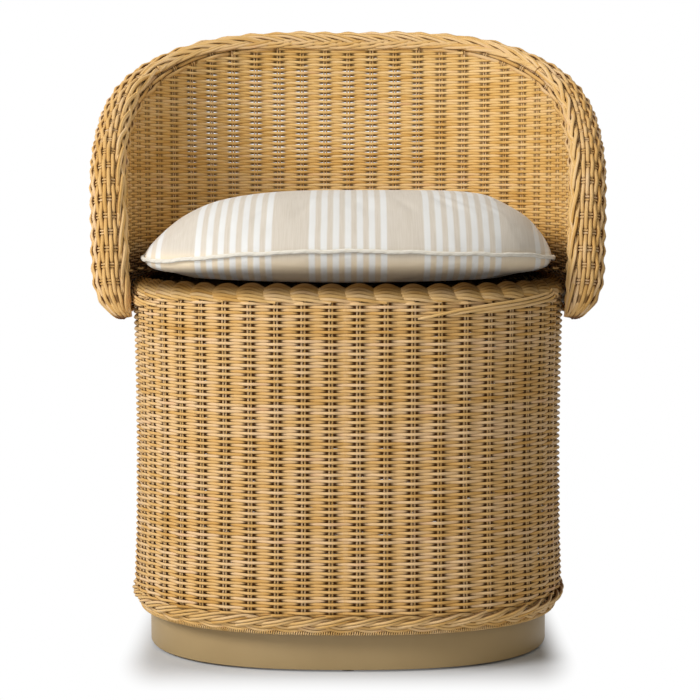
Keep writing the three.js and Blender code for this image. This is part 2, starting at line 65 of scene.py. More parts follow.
log = logging.getLogger("chair")
MM = 0.001
# The phase at which a strand lies level, between its dive and its rise
LEVEL_PHASE = 0.5
CHAIR = "chair"
CUSHION = "cushion"
# The sides of stakes and thin windings
ROD_SIDES = 5
# The share of a step that a row's last even sample keeps clear of the row's end
END_ROOM = 0.3
# Keeps a division off nought
TINY = 1e-9


class Slot(Enum):
    """The record's material slots; no piece in this script takes its finish from them."""

    WICKER = "wicker"
    PLAIT = "wicker_plait"
    PAINT = "plinth_paint"
    CLOTH = "striped_cloth"
    WELT = "welt_cloth"


class Attribute(Enum):
    """Names of the values that strands carry from their guide lines to their finish."""

    OUT = "out"
    PHASE = "phase"
    TONE = "tone"
    ALONG = "along"
    ROUND = "round"
    SWING = "swing"
    FACING = "facing"


class Draw(Enum):
    """The seed of each piece's random draws."""

    DRUM_ROWS = 11
    DRUM_STAKES = 21
    BORDER = 31
    CORNER_LAY = 37
    DRUM_HEM = 41
    PANEL = 51
    PANEL_STAKES = 61
    POCKET = 71
    ROLL = 81
    ROLL_STAKES = 91
    PLAIT = 101
    BACK_HEM = 111
    DECK = 121

    def generator(self, shift: int = 0) -> np.random.Generator:
        """A generator that starts at the seed, or a shift beyond it."""
        return np.random.default_rng(self.value + shift)


class Tones(Enum):
    """The range that strands' tones are drawn from, by where the strands lie."""

    ROWS = (0.2, 0.9)
    STAKES = (0.4, 0.8)
    BRAID = (0.3, 0.85)
    LAY = (0.55, 0.75)
    BACK_HEM = (0.35, 0.85)

    def pick(self, rng: np.random.Generator) -> float:
        """One strand's tone."""
        return float(rng.uniform(*self.value))


# ---- Shader and geometry node kit


class Field:
    """A node socket that adds a Math node whenever it is used in a Python expression."""

    def __init__(self, kit: "NodeKit", socket: bpy.types.NodeSocket) -> None:
        """Args:
            socket: The output socket that holds the value.
        """
        self.kit = kit
        self.socket = socket

    def _math(self, operation: str, first: object, second: object) -> "Field":
        """One Math node.

        Args:
            operation: The node's operation.
            first: Its first value.
            second: Its second value.

        Returns:
            The node's result.
        """
        return self.kit.value("ShaderNodeMath", {"operation": operation}, {0: first, 1: second})

    def __add__(self, other: object) -> "Field":
        """This value plus another."""
        return self._math("ADD", self, other)

    def __radd__(self, other: object) -> "Field":
        """Another value plus this one."""
        return self._math("ADD", other, self)

    def __sub__(self, other: object) -> "Field":
        """This value less another."""
        return self._math("SUBTRACT", self, other)

    def __rsub__(self, other: object) -> "Field":
        """Another value less this one."""
        return self._math("SUBTRACT", other, self)

    def __mul__(self, other: object) -> "Field":
        """This value times another."""
        return self._math("MULTIPLY", self, other)

    def __rmul__(self, other: object) -> "Field":
        """Another value times this one."""
        return self._math("MULTIPLY", other, self)

    def __truediv__(self, other: object) -> "Field":
        """This value over another."""
        return self._math("DIVIDE", self, other)

    def __rtruediv__(self, other: object) -> "Field":
        """Another value over this one."""
        return self._math("DIVIDE", other, self)

    def __lt__(self, other: object) -> "Field":
        """One where this value is the smaller."""
        return self._math("LESS_THAN", self, other)

    def __gt__(self, other: object) -> "Field":
        """One where this value is the larger."""
        return self._math("GREATER_THAN", self, other)

    def __abs__(self) -> "Field":
        """This value without its sign."""
        return self._math("ABSOLUTE", self, 0.0)

    def cosine(self) -> "Field":
        """The cosine of this value."""
        return self._math("COSINE", self, 0.0)

    def sine(self) -> "Field":
        """The sine of this value."""
        return self._math("SINE", self, 0.0)

    def power(self, exponent: object) -> "Field":
        """This value to a power."""
        return self._math("POWER", self, exponent)

    def sign(self) -> "Field":
        """One above nought, and minus one below it."""
        return self._math("SIGN", self, 0.0)

    def nearest(self, pitch: float) -> "Field":
        """The signed distance from this value to the nearest multiple of a pitch.

        Args:
            pitch: The distance between the multiples.

        Returns:
            A value from minus half a pitch to half a pitch.
        """
        settings = {"operation": "WRAP"}
        return self.kit.value("ShaderNodeMath", settings, {0: self, 1: pitch / 2, 2: -pitch / 2})

    def ease(self, low: float, high: float) -> "Field":
        """A smooth step from none to one.

        Args:
            low: The value at which the step starts.
            high: The value at which the step ends.

        Returns:
            The step's result.
        """
        settings = {"interpolation_type": "SMOOTHSTEP"}
        return self.kit.value("ShaderNodeMapRange", settings, {0: self, 1: low, 2: high, 3: 0.0, 4: 1.0})


class NodeKit:
    """Adds nodes to one tree and joins them."""

    def __init__(self, tree: bpy.types.NodeTree) -> None:
        """Keeps the tree.

        Args:
            tree: The tree that the nodes go to.
        """
        self.tree = tree

    def node(self, kind: str, settings: dict | None = None, inputs: dict | None = None) -> bpy.types.Node:
        """Adds one node.

        Args:
            kind: The node's type.
            settings: Its own settings. "stops" holds a ramp's places and colours.
            inputs: Values, fields or sockets, by the index or name of the input they go to.

        Returns:
            The node.
        """
        made = self.tree.nodes.new(kind)
        for name, value in (settings or {}).items():
            if name == "stops":
                elements = made.color_ramp.elements
                while len(elements) < len(value):
                    elements.new(1.0)
                for element, (place, colour) in zip(elements, value):
                    element.position = place
                    element.color = (*colour, 1.0)
            else:
                setattr(made, name, value)
        for name, value in (inputs or {}).items():
            target = made.inputs[name]
            source = value.socket if isinstance(value, Field) else value
            if isinstance(source, bpy.types.NodeSocket):
                self.tree.links.new(source, target)
            else:
                target.default_value = source
        return made

    def value(
        self, kind: str, settings: dict | None = None, inputs: dict | None = None, output: object = 0
    ) -> Field:
        """Adds one node and gives one of its outputs.

        Args:
            kind: The node's type.
            settings: Its own settings.
            inputs: What its inputs hold.
            output: The index or name of the output.

        Returns:
            The output as a field.
        """
        return Field(self, self.node(kind, settings, inputs).outputs[output])

    def attribute(self, name: Attribute) -> Field:
        """A number that the surface carries in a shader tree."""
        return self.value("ShaderNodeAttribute", {"attribute_name": name.value}, None, "Fac")

    def noise(self, vector: Field, scale: float, detail: float = 2.0, seed: float = 0.0) -> Field:
        """A noise texture.

        Args:
            vector: The place that it is read at.
            scale: How fine it is.
            detail: How many layers it has.
            seed: A place on its fourth axis.

        Returns:
            A number from nought to one.
        """
        inputs = {"Vector": vector, "Scale": scale, "Detail": detail, "W": seed}
        return self.value("ShaderNodeTexNoise", {"noise_dimensions": "4D"}, inputs)

    def mix(self, share: object, first: object, second: object) -> Field:
        """A colour between two others.

        Args:
            share: How much of the second there is.
            first: The first colour.
            second: The second colour.

        Returns:
            The mixed colour.
        """
        return self.value(
            "ShaderNodeMix", {"data_type": "RGBA"}, {"Factor": share, 6: first, 7: second}, 2
        )

    def ramp(self, place: Field, stops: tuple) -> Field:
        """A colour ramp.

        Args:
            place: The number that it is read at.
            stops: Pairs of a place and a colour.

        Returns:
            The colour.
        """
        return self.value("ShaderNodeValToRGB", {"stops": stops}, {0: place})

    def scaled(self, vector: Field, scale: tuple[float, float, float]) -> Field:
        """A vector with each part stretched.

        Args:
            vector: The vector.
            scale: What its parts are multiplied by.

        Returns:
            The stretched vector.
        """
        inputs = {0: vector, 1: scale}
        return self.value("ShaderNodeVectorMath", {"operation": "MULTIPLY"}, inputs)

    def vector(self, x: object, y: object, z: object) -> Field:
        """A vector of three numbers.

        Args:
            x: Its first part.
            y: Its second part.
            z: Its third part.

        Returns:
            The vector.
        """
        return self.value("ShaderNodeCombineXYZ", None, {0: x, 1: y, 2: z})


class Finish:
    """A finish: one material, made once, whose tree a subclass draws."""

    name: str

    def draw(self, kit: NodeKit, coords: Field) -> dict:
        """Draws the finish.

        Args:
            coords: The place on the piece, in metres.

        Returns:
            What the inputs of the Principled BSDF hold, by name.
        """
        raise NotImplementedError

    @cached_property
    def material(self) -> bpy.types.Material:
        """The finish as a material."""
        made = bpy.data.materials.new(self.name)
        made.use_nodes = True
        made.node_tree.nodes.clear()
        kit = NodeKit(made.node_tree)
        coords = kit.value("ShaderNodeTexCoord", None, None, "Object")
        surface = kit.node("ShaderNodeBsdfPrincipled", None, self.draw(kit, coords))
        kit.node("ShaderNodeOutputMaterial", None, {"Surface": surface.outputs[0]})
        return made


@dataclass(frozen=True)
class Strand(Finish):
    """Round synthetic cane: straw coloured, with slow changes along each strand and fine grain.

    Its sides, which face the next strand, carry painted shade, and so does what dives behind the stakes, and
    what lies beyond the second of two heights. On one-sided pieces every face turned inward is painted dark.
    """

    name: str
    stops: tuple
    one_sided: bool = False
    under_shade_share: float = 0.95
    side_shade_share: float = 0.9
    # The colour that the painted shade mixes towards
    shade_colour: tuple = (0.105, 0.030, 0.003)
    clear_to_shaded: tuple = (0.0, -1.0)
    height_shade_share: float = 0.9
    roughness: float = 0.5
    gloss: float = 0.1
    grain_depth: float = 0.00012
    grain_strength: float = 0.6
    patch_scale: float = 16.0
    stretch_scale: tuple = (14.0, 61.0)
    streak_scale: tuple = (60.0, 5.0, 37.0)
    grain_scale: tuple = (900.0, 14.0, 37.0)
    tone_share: float = 0.36
    stretch_share: float = 0.62
    patch_share: float = 0.3
    streak_share: float = 0.2
    least_place: float = 0.33
    side_from_to: tuple = (0.08, 0.66)
    under_from_to: tuple = (0.28, 0.7)
    streak_gloss: float = 0.18

    def draw(self, kit: NodeKit, coords: Field) -> dict:
        """Draws the cane.

        Args:
            coords: The place on the piece, in metres.

        Returns:
            What the inputs of the Principled BSDF hold, by name.
        """
        tone = kit.attribute(Attribute.TONE)
        along = kit.attribute(Attribute.ALONG)
        around = kit.attribute(Attribute.ROUND)
        patch = kit.noise(coords, self.patch_scale, seed=3.0)
        by_run, by_tone = self.stretch_scale
        stretch = kit.noise(kit.vector(along * by_run, tone * by_tone, 0.0), 1.0, seed=7.0)
        by_run, by_turn, by_tone = self.streak_scale
        grooves = kit.vector(along * by_run, around * by_turn, tone * by_tone)
        streak = kit.noise(grooves, 1.0, detail=3.0, seed=11.0)
        slow = self.tone_share * tone + self.stretch_share * (stretch - 0.5)
        quick = self.patch_share * (patch - 0.5) + self.streak_share * (streak - 0.5)
        place = slow + quick + self.least_place
        # Painted shade on the sides that face the next strand, and on one-sided pieces on every face turned
        # inward
        facing = kit.attribute(Attribute.FACING)
        open_side = facing if self.one_sided else abs(facing)
        side = (1.0 - open_side.ease(*self.side_from_to)) * self.side_shade_share
        # Painted shade on what dives behind the stakes
        recess = kit.attribute(Attribute.SWING) * facing.sign()
        under = (0.0 - recess).ease(*self.under_from_to) * self.under_shade_share
        # Painted shade beyond a height, such as the cushion's shadow on the border or the shade at the
        # panel's foot
        height = Field(kit, kit.node("ShaderNodeSeparateXYZ", None, {0: coords}).outputs[2])
        height_shade = height.ease(*self.clear_to_shaded) * self.height_shade_share
        shade = 1.0 - (1.0 - side) * (1.0 - under) * (1.0 - height_shade)
        colour = kit.mix(shade, kit.ramp(place, self.stops), (*self.shade_colour, 1.0))
        by_run, by_turn, by_tone = self.grain_scale
        grain = kit.noise(kit.vector(along * by_run, around * by_turn, tone * by_tone), 1.0, seed=5.0)
        relief = {"Strength": self.grain_strength, "Distance": self.grain_depth, "Height": grain}
        bump = kit.node("ShaderNodeBump", None, relief)
        return {
            "Base Color": colour,
            "Roughness": self.roughness + self.streak_gloss * (streak - 0.5),
            "Normal": bump.outputs[0],
            "Specular IOR Level": self.gloss,
        }


@dataclass(frozen=True)
class StripedCloth(Finish):
    """Outdoor cloth: a beige ground with groups of white stripes from front to back.

    Its underside, towards the deck, is painted warmer and lighter: a painted warm reflection of the cane
    beneath.
    """

    name: str
    ground: tuple = (0.64, 0.583, 0.507)
    thread: tuple = (0.52, 0.453, 0.360)
    stripe: tuple = (0.735, 0.737, 0.727)
    group_pitch: float = 0.1398
    stripe_pitch: float = 0.01455
    stripe_half: float = 0.0038
    group_half: float = 0.0486
    soft_edge: float = 0.0012
    belly_warm_light: tuple = (0.94, 0.775, 0.54)
    belly_stripe_warm_light: tuple = (0.97, 0.95, 0.90)
    belly_light_from_to: tuple = (0.519, 0.491)
    belly_light_share: float = 0.9
    wander_scale: float = 22.0
    wander_depth: float = 0.0012
    thread_scale: tuple = (900.0, 26.0, 26.0)
    pick_scale: tuple = (60.0, 900.0, 900.0)
    ground_threads: tuple = (0.34, 0.72)
    ground_share: float = 0.42
    stripe_threads: tuple = (0.4, 0.8)
    stripe_share: float = 0.16
    pick_depth: float = 0.8
    weave_strength: float = 0.5
    weave_depth: float = 0.0002
    roughness: float = 0.86
    stripe_gloss: float = 0.08
    sheen: float = 0.18
    specular: float = 0.25

    def draw(self, kit: NodeKit, coords: Field) -> dict:
        """Draws the cloth.

        Args:
            coords: The place on the piece, in metres.

        Returns:
            What the inputs of the Principled BSDF hold, by name.
        """
        parts = kit.node("ShaderNodeSeparateXYZ", None, {0: coords})
        across = Field(kit, parts.outputs[0])
        wander = kit.noise(coords, self.wander_scale, seed=1.0) - 0.5
        across = across + self.wander_depth * wander
        in_group = across.nearest(self.group_pitch)
        group = 1.0 - abs(in_group).ease(self.group_half - self.soft_edge, self.group_half)
        from_stripe = abs(in_group.nearest(self.stripe_pitch))
        low, high = self.stripe_half - self.soft_edge, self.stripe_half + self.soft_edge
        stripes = (1.0 - from_stripe.ease(low, high)) * group
        threads = kit.noise(kit.scaled(coords, self.thread_scale), 1.0, seed=2.0)
        picks = kit.noise(kit.scaled(coords, self.pick_scale), 1.0, detail=1.0, seed=4.0)
        share = threads.ease(*self.ground_threads) * self.ground_share
        ground = kit.mix(share, (*self.ground, 1.0), (*self.thread, 1.0))
        share = threads.ease(*self.stripe_threads) * self.stripe_share
        white = kit.mix(share, (*self.stripe, 1.0), (*self.ground, 1.0))
        # Painted warm light: below a height the ground and the stripes are mixed towards lighter, warmer
        # copies, a painted reflection of the cane beneath
        low = Field(kit, parts.outputs[2]).ease(*self.belly_light_from_to) * self.belly_light_share
        ground = kit.mix(low, ground, (*self.belly_warm_light, 1.0))
        white = kit.mix(low, white, (*self.belly_stripe_warm_light, 1.0))
        colour = kit.mix(stripes, ground, white)
        height = threads + self.pick_depth * picks
        relief = {"Strength": self.weave_strength, "Distance": self.weave_depth, "Height": height}
        bump = kit.node("ShaderNodeBump", None, relief)
        return {
            "Base Color": colour,
            "Roughness": self.roughness - self.stripe_gloss * stripes,
            "Normal": bump.outputs[0],
            "Sheen Weight": self.sheen,
            "Specular IOR Level": self.specular,
        }


@dataclass(frozen=True)
class WeltCloth(Finish):
    """The off-white covered cord along the cushion's seam."""

    name: str
    light: tuple = (0.80, 0.76, 0.675)
    dark: tuple = (0.62, 0.56, 0.45)
    lay: float = 0.016
    weave_scale: float = 1500.0
    turn_from: float = 0.35
    groove_shade_share: float = 0.35
    weave_share: float = 0.25
    relief_strength: float = 0.7
    relief_depth: float = 0.0006
    weave_height: float = 0.4
    turn_height: float = 0.5
    roughness: float = 0.8
    weave_gloss: float = 0.1
    sheen: float = 0.15

    def draw(self, kit: NodeKit, coords: Field) -> dict:
        """Draws the cord's cover.

        Args:
            coords: The place on the piece, in metres.

        Returns:
            What the inputs of the Principled BSDF hold, by name.
        """
        along = kit.attribute(Attribute.ALONG)
        around = kit.attribute(Attribute.ROUND)
        turn = ((along / self.lay + around) * math.tau).sine()
        weave = kit.noise(coords, self.weave_scale, seed=6.0)
        # Painted shade in the grooves of the cord's twist, where the relief dips, beside the cover's own
        # weave
        shade = turn.ease(self.turn_from, 1.0) * self.groove_shade_share + self.weave_share * weave
        height = weave * self.weave_height - self.turn_height * turn
        relief = {"Strength": self.relief_strength, "Distance": self.relief_depth, "Height": height}
        bump = kit.node("ShaderNodeBump", None, relief)
        return {
            "Base Color": kit.mix(shade, (*self.light, 1.0), (*self.dark, 1.0)),
            "Roughness": self.roughness + self.weave_gloss * weave,
            "Normal": bump.outputs[0],
            "Sheen Weight": self.sheen,
        }


@dataclass(frozen=True)
class Coat(Finish):
    """A paint, metal or plastic: two near colours, a fine surface and its gloss."""

    name: str
    light: tuple
    dark: tuple
    roughness: float
    metallic: float = 0.0
    texture_scale: float = 900.0
    texture_depth: float = 0.00005
    stretch: tuple = (1.0, 1.0, 1.0)
    coat: float = 0.0
    specular: float = 0.5
    relief_strength: float = 0.5
    cloud_scale: float = 9.0
    cloud_from_to: tuple = (0.3, 0.75)
    cloud_share: float = 0.75
    fine_share: float = 0.25
    fine_gloss: float = 0.14
    cloud_gloss: float = 0.08

    def draw(self, kit: NodeKit, coords: Field) -> dict:
        """Draws the coat.

        Args:
            coords: The place on the piece, in metres.

        Returns:
            What the inputs of the Principled BSDF hold, by name.
        """
        cloud = kit.noise(coords, self.cloud_scale, detail=3.0, seed=2.0)
        fine = kit.noise(kit.scaled(coords, self.stretch), self.texture_scale, seed=8.0)
        relief = {"Strength": self.relief_strength, "Distance": self.texture_depth, "Height": fine}
        bump = kit.node("ShaderNodeBump", None, relief)
        share = self.cloud_share * cloud.ease(*self.cloud_from_to) + self.fine_share * fine
        return {
            "Base Color": kit.mix(share, (*self.light, 1.0), (*self.dark, 1.0)),
            "Roughness": self.roughness + self.fine_gloss * (fine - 0.5) + self.cloud_gloss * (cloud - 0.5),
            "Metallic": self.metallic,
            "Coat Weight": self.coat,
            "Specular IOR Level": self.specular,
            "Normal": bump.outputs[0],
        }


CANE_STOPS = (
    (0.20, (0.50, 0.262, 0.062)),
    (0.38, (0.645, 0.375, 0.118)),
    (0.52, (0.715, 0.455, 0.184)),
    (0.66, (0.775, 0.54, 0.298)),
    (0.82, (0.69, 0.40, 0.205)),
)
PANEL_STOPS = (
    (0.20, (0.54, 0.285, 0.060)),
    (0.38, (0.70, 0.415, 0.118)),
    (0.52, (0.78, 0.505, 0.182)),
    (0.66, (0.84, 0.590, 0.275)),
    (0.82, (0.75, 0.445, 0.200)),
)
BRAID_STOPS = (
    (0.20, (0.47, 0.24, 0.056)),
    (0.38, (0.63, 0.36, 0.108)),
    (0.52, (0.715, 0.458, 0.178)),
    (0.66, (0.775, 0.535, 0.272)),
    (0.82, (0.665, 0.38, 0.185)),
)
# The deck's cane in dark tones: painted shade under the cushion
SHADED_DECK_STOPS = (
    (0.20, (0.13, 0.07, 0.018)),
    (0.52, (0.19, 0.12, 0.042)),
    (0.82, (0.17, 0.10, 0.045)),
)


@dataclass
class Finishes:
    """Every finish of the chair."""

    # Each cane finish carries the painted shade that Strand draws, in its own amounts
    cane: Strand = Strand("cane", CANE_STOPS)
    drum_cane: Strand = Strand("drum_cane", CANE_STOPS, one_sided=True)
    # The panel: painted shade on its sides and behind its stakes, and painted shade at its foot, darker
    # towards the deck below the cushion
    panel_cane: Strand = Strand(
        "panel_cane",
        PANEL_STOPS,
        under_shade_share=0.66,
        side_shade_share=0.68,
        clear_to_shaded=(0.533, 0.484),
        gloss=0.3,
    )
    # The rim border: painted shade on its sides, and the tops of its domes painted nearly black as the
    # cushion's shadow
    border_cane: Strand = Strand(
        "border_cane",
        BRAID_STOPS,
        one_sided=True,
        under_shade_share=0.0,
        side_shade_share=0.6,
        shade_colour=(0.055, 0.022, 0.003),
        clear_to_shaded=(0.4540, 0.4735),
        height_shade_share=0.97,
        gloss=0.02,
    )
    # The deck, painted dark as the cushion's shade
    shaded_deck_cane: Strand = Strand("shaded_deck_cane", SHADED_DECK_STOPS)
    # The roll and the braids: painted shade on their sides, and on the roll behind its stakes
    roll_cane: Strand = Strand("roll_cane", CANE_STOPS, one_sided=True, under_shade_share=0.55, side_shade_share=0.8)
    braid: Strand = Strand("braid_cane", BRAID_STOPS, one_sided=True, side_shade_share=0.8)
    cloth: StripedCloth = StripedCloth("striped_cloth")
    welt: WeltCloth = WeltCloth("welt_cloth")
    paint: Coat = Coat("plinth_paint", (0.395, 0.282, 0.137), (0.35, 0.244, 0.114), 0.5, specular=0.25)
    tube: Coat = Coat(
        "frame_tube",
        (0.17, 0.115, 0.06),
        (0.13, 0.086, 0.043),
        0.5,
        texture_scale=700.0,
        texture_depth=0.00008,
    )
    steel: Coat = Coat(
        "steel_fitting",
        (0.62, 0.625, 0.63),
        (0.5, 0.505, 0.51),
        0.33,
        metallic=1.0,
        texture_scale=320.0,
        stretch=(12, 1, 1),
    )
    glide: Coat = Coat(
        "glide_plastic",
        (0.035, 0.035, 0.036),
        (0.022, 0.022, 0.023),
        0.55,
        texture_scale=700.0,
        texture_depth=0.0001,
    )
    foam: Coat = Coat(
        "foam", (0.82, 0.78, 0.66), (0.74, 0.69, 0.56), 0.95, texture_scale=500.0, texture_depth=0.0006
    )


# ---- Curves that the woven skins follow


@dataclass(frozen=True)
class PlanCurve:
    """A superellipse in plan, walked by the distance run from its front middle towards +X."""

    half_width: float
    half_depth: float
    power: float
    middle_y: float
    fine: int = 4096

    @cached_property
    def table(self) -> tuple[np.ndarray, np.ndarray]:
        """The distances run and the points at them."""
        angle = math.tau * np.arange(self.fine + 1) / self.fine - math.pi / 2
        cosine, sine = np.cos(angle), np.sin(angle)
        share = 2 / self.power
        points = np.stack(
            [
                self.half_width * np.sign(cosine) * np.abs(cosine) ** share,
                self.half_depth * np.sign(sine) * np.abs(sine) ** share,
            ],
            1,
        )
        steps = np.linalg.norm(np.diff(points, axis=0), axis=1)
        return np.concatenate([[0.0], np.cumsum(steps)]), points

    @property
    def total(self) -> float:
        """The whole way round."""
        return float(self.table[0][-1])

    def at(self, run: np.ndarray) -> tuple[np.ndarray, np.ndarray]:
        """The places at distances run, and the directions out of the curve there.

        Args:
            run: The distances from the front middle.

        Returns:
            The places, at height nought, and the outward normals.
        """
        runs, points = self.table
        wrapped = np.mod(run, self.total)
        x = np.interp(wrapped, runs, points[:, 0])
        y = np.interp(wrapped, runs, points[:, 1])
        rise = self.power - 1
        gx = np.sign(x) * np.abs(x / self.half_width) ** rise / self.half_width
        gy = np.sign(y) * np.abs(y / self.half_depth) ** rise / self.half_depth
        size = np.hypot(gx, gy)
        zero = np.zeros_like(x)
        return np.stack([x, y + self.middle_y, zero], -1), np.stack([gx / size, gy / size, zero], -1)

    def point(self, run: np.ndarray, offset: np.ndarray | float, height: np.ndarray | float) -> np.ndarray:
        """Points beside the curve.

        Args:
            run: The distances from the front middle.
            offset: How far out of the curve.
            height: How high above the floor.

        Returns:
            The points.
        """
        place, normal = self.at(run)
        place = place + normal * np.broadcast_to(offset, np.shape(run))[..., None]
        place[..., 2] = height
        return place


def polyline_at(points: Iterable[tuple[float, float]], distance: np.ndarray) -> np.ndarray:
    """Points of a section line at distances along it.

    Args:
        points: The line's corners, as offset and height.
        distance: The distances from its first corner.

    Returns:
        The offsets and heights there.
    """
    corners = np.array(list(points), float)
    run = np.concatenate([[0.0], np.cumsum(np.linalg.norm(np.diff(corners, axis=0), axis=1))])
    return np.stack([np.interp(distance, run, corners[:, i]) for i in (0, 1)], -1)


def polyline_length(points: Iterable[tuple[float, float]]) -> float:
    """The length of a section line."""
    return float(np.linalg.norm(np.diff(np.array(list(points), float), axis=0), axis=1).sum())


def waves(turn: np.ndarray, table: tuple) -> np.ndarray:
    """A sum of sines, from a table of how often, how far on and how high each one is."""
    return sum(height * np.sin(turn * count + lead) for count, lead, height in table)


def smooth(share: np.ndarray) -> np.ndarray:
    """A share from none to one, eased at both ends."""
    return share * share * (3 - 2 * share)


@dataclass(frozen=True)
class BackEdge:
    """The edge of the back: from one arm's tip over the top to the other's, on the shell's inner face."""

    shell: PlanCurve
    arm_reach: float = 540 * MM
    tip_bottom: float = 419 * MM
    rim_top: float = 787 * MM
    roll_radius: float = 23 * MM
    roll_proud: float = -2 * MM
    tip_length: float = 60 * MM
    tip_radius: float = 3 * MM
    tip_trim: float = 7 * MM
    shares: tuple = (
        (0.0, 1.0),
        (0.17, 1.0),
        (0.35, 0.965),
        (0.526, 0.868),
        (0.66, 0.762),
        (0.79, 0.636),
        (0.875, 0.544),
        (0.925, 0.44),
        (0.955, 0.3),
        (0.978, 0.15),
        (1.0, 0.0),
    )
    steps: int = 64

    @cached_property
    def flat(self) -> np.ndarray:
        """The edge unrolled: the distance round the shell from the back middle, and the height."""
        half = np.array(self.shares) * [self.arm_reach, self.rim_top - self.tip_bottom]
        half[:, 1] += self.tip_bottom
        knots = np.concatenate([(half[1:] * [-1, 1])[::-1], half])
        knots = np.concatenate([[2 * knots[0] - knots[1]], knots, [2 * knots[-1] - knots[-2]]])
        share = np.arange(self.steps)[:, None] / self.steps
        pieces = []
        for a, b, c, d in zip(knots[:-3], knots[1:-2], knots[2:-1], knots[3:]):
            before, here, after = (np.linalg.norm(q - p) ** 0.5 for p, q in ((a, b), (b, c), (c, d)))
            leave = ((b - a) / before - (c - a) / (before + here) + (c - b) / here) * here
            reach = ((c - b) / here - (d - b) / (here + after) + (d - c) / after) * here
            pieces.append(
                b
                + leave * share
                + (3 * (c - b) - 2 * leave - reach) * share**2
                + (2 * (b - c) + leave + reach) * share**3
            )
        return np.concatenate([*pieces, knots[-2:-1]])

    @cached_property
    def runs(self) -> np.ndarray:
        """The distance along the edge at each point of its line."""
        return np.concatenate([[0.0], np.cumsum(np.linalg.norm(np.diff(self.flat, axis=0), axis=1))])

    @property
    def length(self) -> float:
        """The edge's whole length."""
        return float(self.runs[-1])

    @property
    def back_middle(self) -> float:
        """The distance round the shell at the middle of the back."""
        return self.shell.total / 2

    def flat_at(self, run: np.ndarray) -> np.ndarray:
        """The unrolled edge at distances along it."""
        return np.stack([np.interp(run, self.runs, self.flat[:, i]) for i in (0, 1)], -1)

    def reach_at(self, height: float) -> float:
        """How far from the back middle the edge is at a height."""
        half = self.flat[len(self.flat) // 2 :]
        return float(np.interp(-height, -half[:, 1], half[:, 0]))

    def height_at(self, reach: np.ndarray) -> np.ndarray:
        """How high the edge is at distances from the back middle."""
        half = self.flat[len(self.flat) // 2 :]
        return np.interp(np.abs(reach), half[:, 0], half[:, 1])

    def roll(
        self, run: np.ndarray, angle: np.ndarray | float, inset: float
    ) -> tuple[np.ndarray, np.ndarray, np.ndarray]:
        """Points on the roll along the edge.

        Args:
            run: The distances along the edge.
            angle: Nought points into the seat, a quarter turn off the edge.
            inset: How far under the roll's surface, or above it where negative.

        Returns:
            The points, the directions out of the roll, and the share of the full radius there.
        """
        near = 1.0 * MM
        flat = self.flat_at(run)
        low = self.flat_at(np.maximum(run - near, 0))
        high = self.flat_at(np.minimum(run + near, self.length))
        slope = (high - low) / np.linalg.norm(high - low, axis=-1, keepdims=True)
        place, normal = self.shell.at(self.back_middle + flat[:, 0])
        place[:, 2] = flat[:, 1]
        along = np.stack([-normal[:, 1], normal[:, 0], np.zeros(len(flat))], -1) * slope[:, :1]
        along[:, 2] = slope[:, 1]
        off = -np.cross(along, normal)
        off /= np.linalg.norm(off, axis=-1, keepdims=True)
        from_tip = np.minimum(run, self.length - run) - self.tip_trim
        nose = np.clip(from_tip / self.tip_length, 0, 1)
        radius = self.tip_radius + (self.roll_radius - self.tip_radius) * np.sqrt(1 - (1 - nose) ** 2)
        out = off * np.sin(angle)[..., None] - normal * np.cos(angle)[..., None]
        share = radius / self.roll_radius
        middle = place + normal * (radius - self.roll_proud)[:, None]
        return middle + out * (radius - inset * share)[:, None], out, share


# ---- Strands


@dataclass
class Guides:
    """The guide lines of many strands, gathered into one mesh of edges."""

    points: list = field(default_factory=list)
    outs: list = field(default_factory=list)
    phases: list = field(default_factory=list)
    tones: list = field(default_factory=list)
    closed: list = field(default_factory=list)

    def add(
        self,
        points: np.ndarray,
        tone: float,
        out: np.ndarray | None = None,
        phase: np.ndarray | None = None,
        closed: bool = False,
    ) -> None:
        """Adds one strand.

        Args:
            points: The line that it follows.
            tone: Its place between the darkest cane and the lightest.
            out: The direction in which it weaves, at each point.
            phase: The number of stakes passed, with the row's own shift, at each point.
            closed: Whether its end meets its start.
        """
        count = len(points)
        self.points.append(points)
        self.outs.append(np.zeros((count, 3)) if out is None else out)
        self.phases.append(np.full(count, LEVEL_PHASE) if phase is None else phase)
        self.tones.append(np.full(count, tone))
        self.closed.append(closed)

    def mesh(self, name: str) -> bpy.types.Mesh:
        """The guide lines as a mesh of edges that carries their values.

        Args:
            name: The mesh's name.

        Returns:
            The mesh.
        """
        edges = []
        start = 0
        for line, closed in zip(self.points, self.closed):
            index = np.arange(start, start + len(line))
            edges.append(np.stack([index[:-1], index[1:]], 1))
            if closed:
                edges.append(np.array([[index[-1], index[0]]]))
            start += len(line)
        made = bpy.data.meshes.new(name)
        made.from_pydata(np.concatenate(self.points).tolist(), np.concatenate(edges).tolist(), [])
        values = (
            (Attribute.OUT, "FLOAT_VECTOR", "vector", self.outs),
            (Attribute.PHASE, "FLOAT", "value", self.phases),
            (Attribute.TONE, "FLOAT", "value", self.tones),
        )
        for key, kind, part, data in values:
            layer = made.attributes.new(key.value, kind, "POINT")
            layer.data.foreach_set(part, np.concatenate(data).astype(np.float32).ravel())
        return made


@dataclass(frozen=True)
class StrandSizes:
    """The sizes that one woven piece gives to the strand tree."""

    radius: float
    lift: float = 0.0
    spread: float = 0.0
    wander: float = 0.0003
    sides: int = 6
    seed: float = 1.0
    dive: float = 2.3


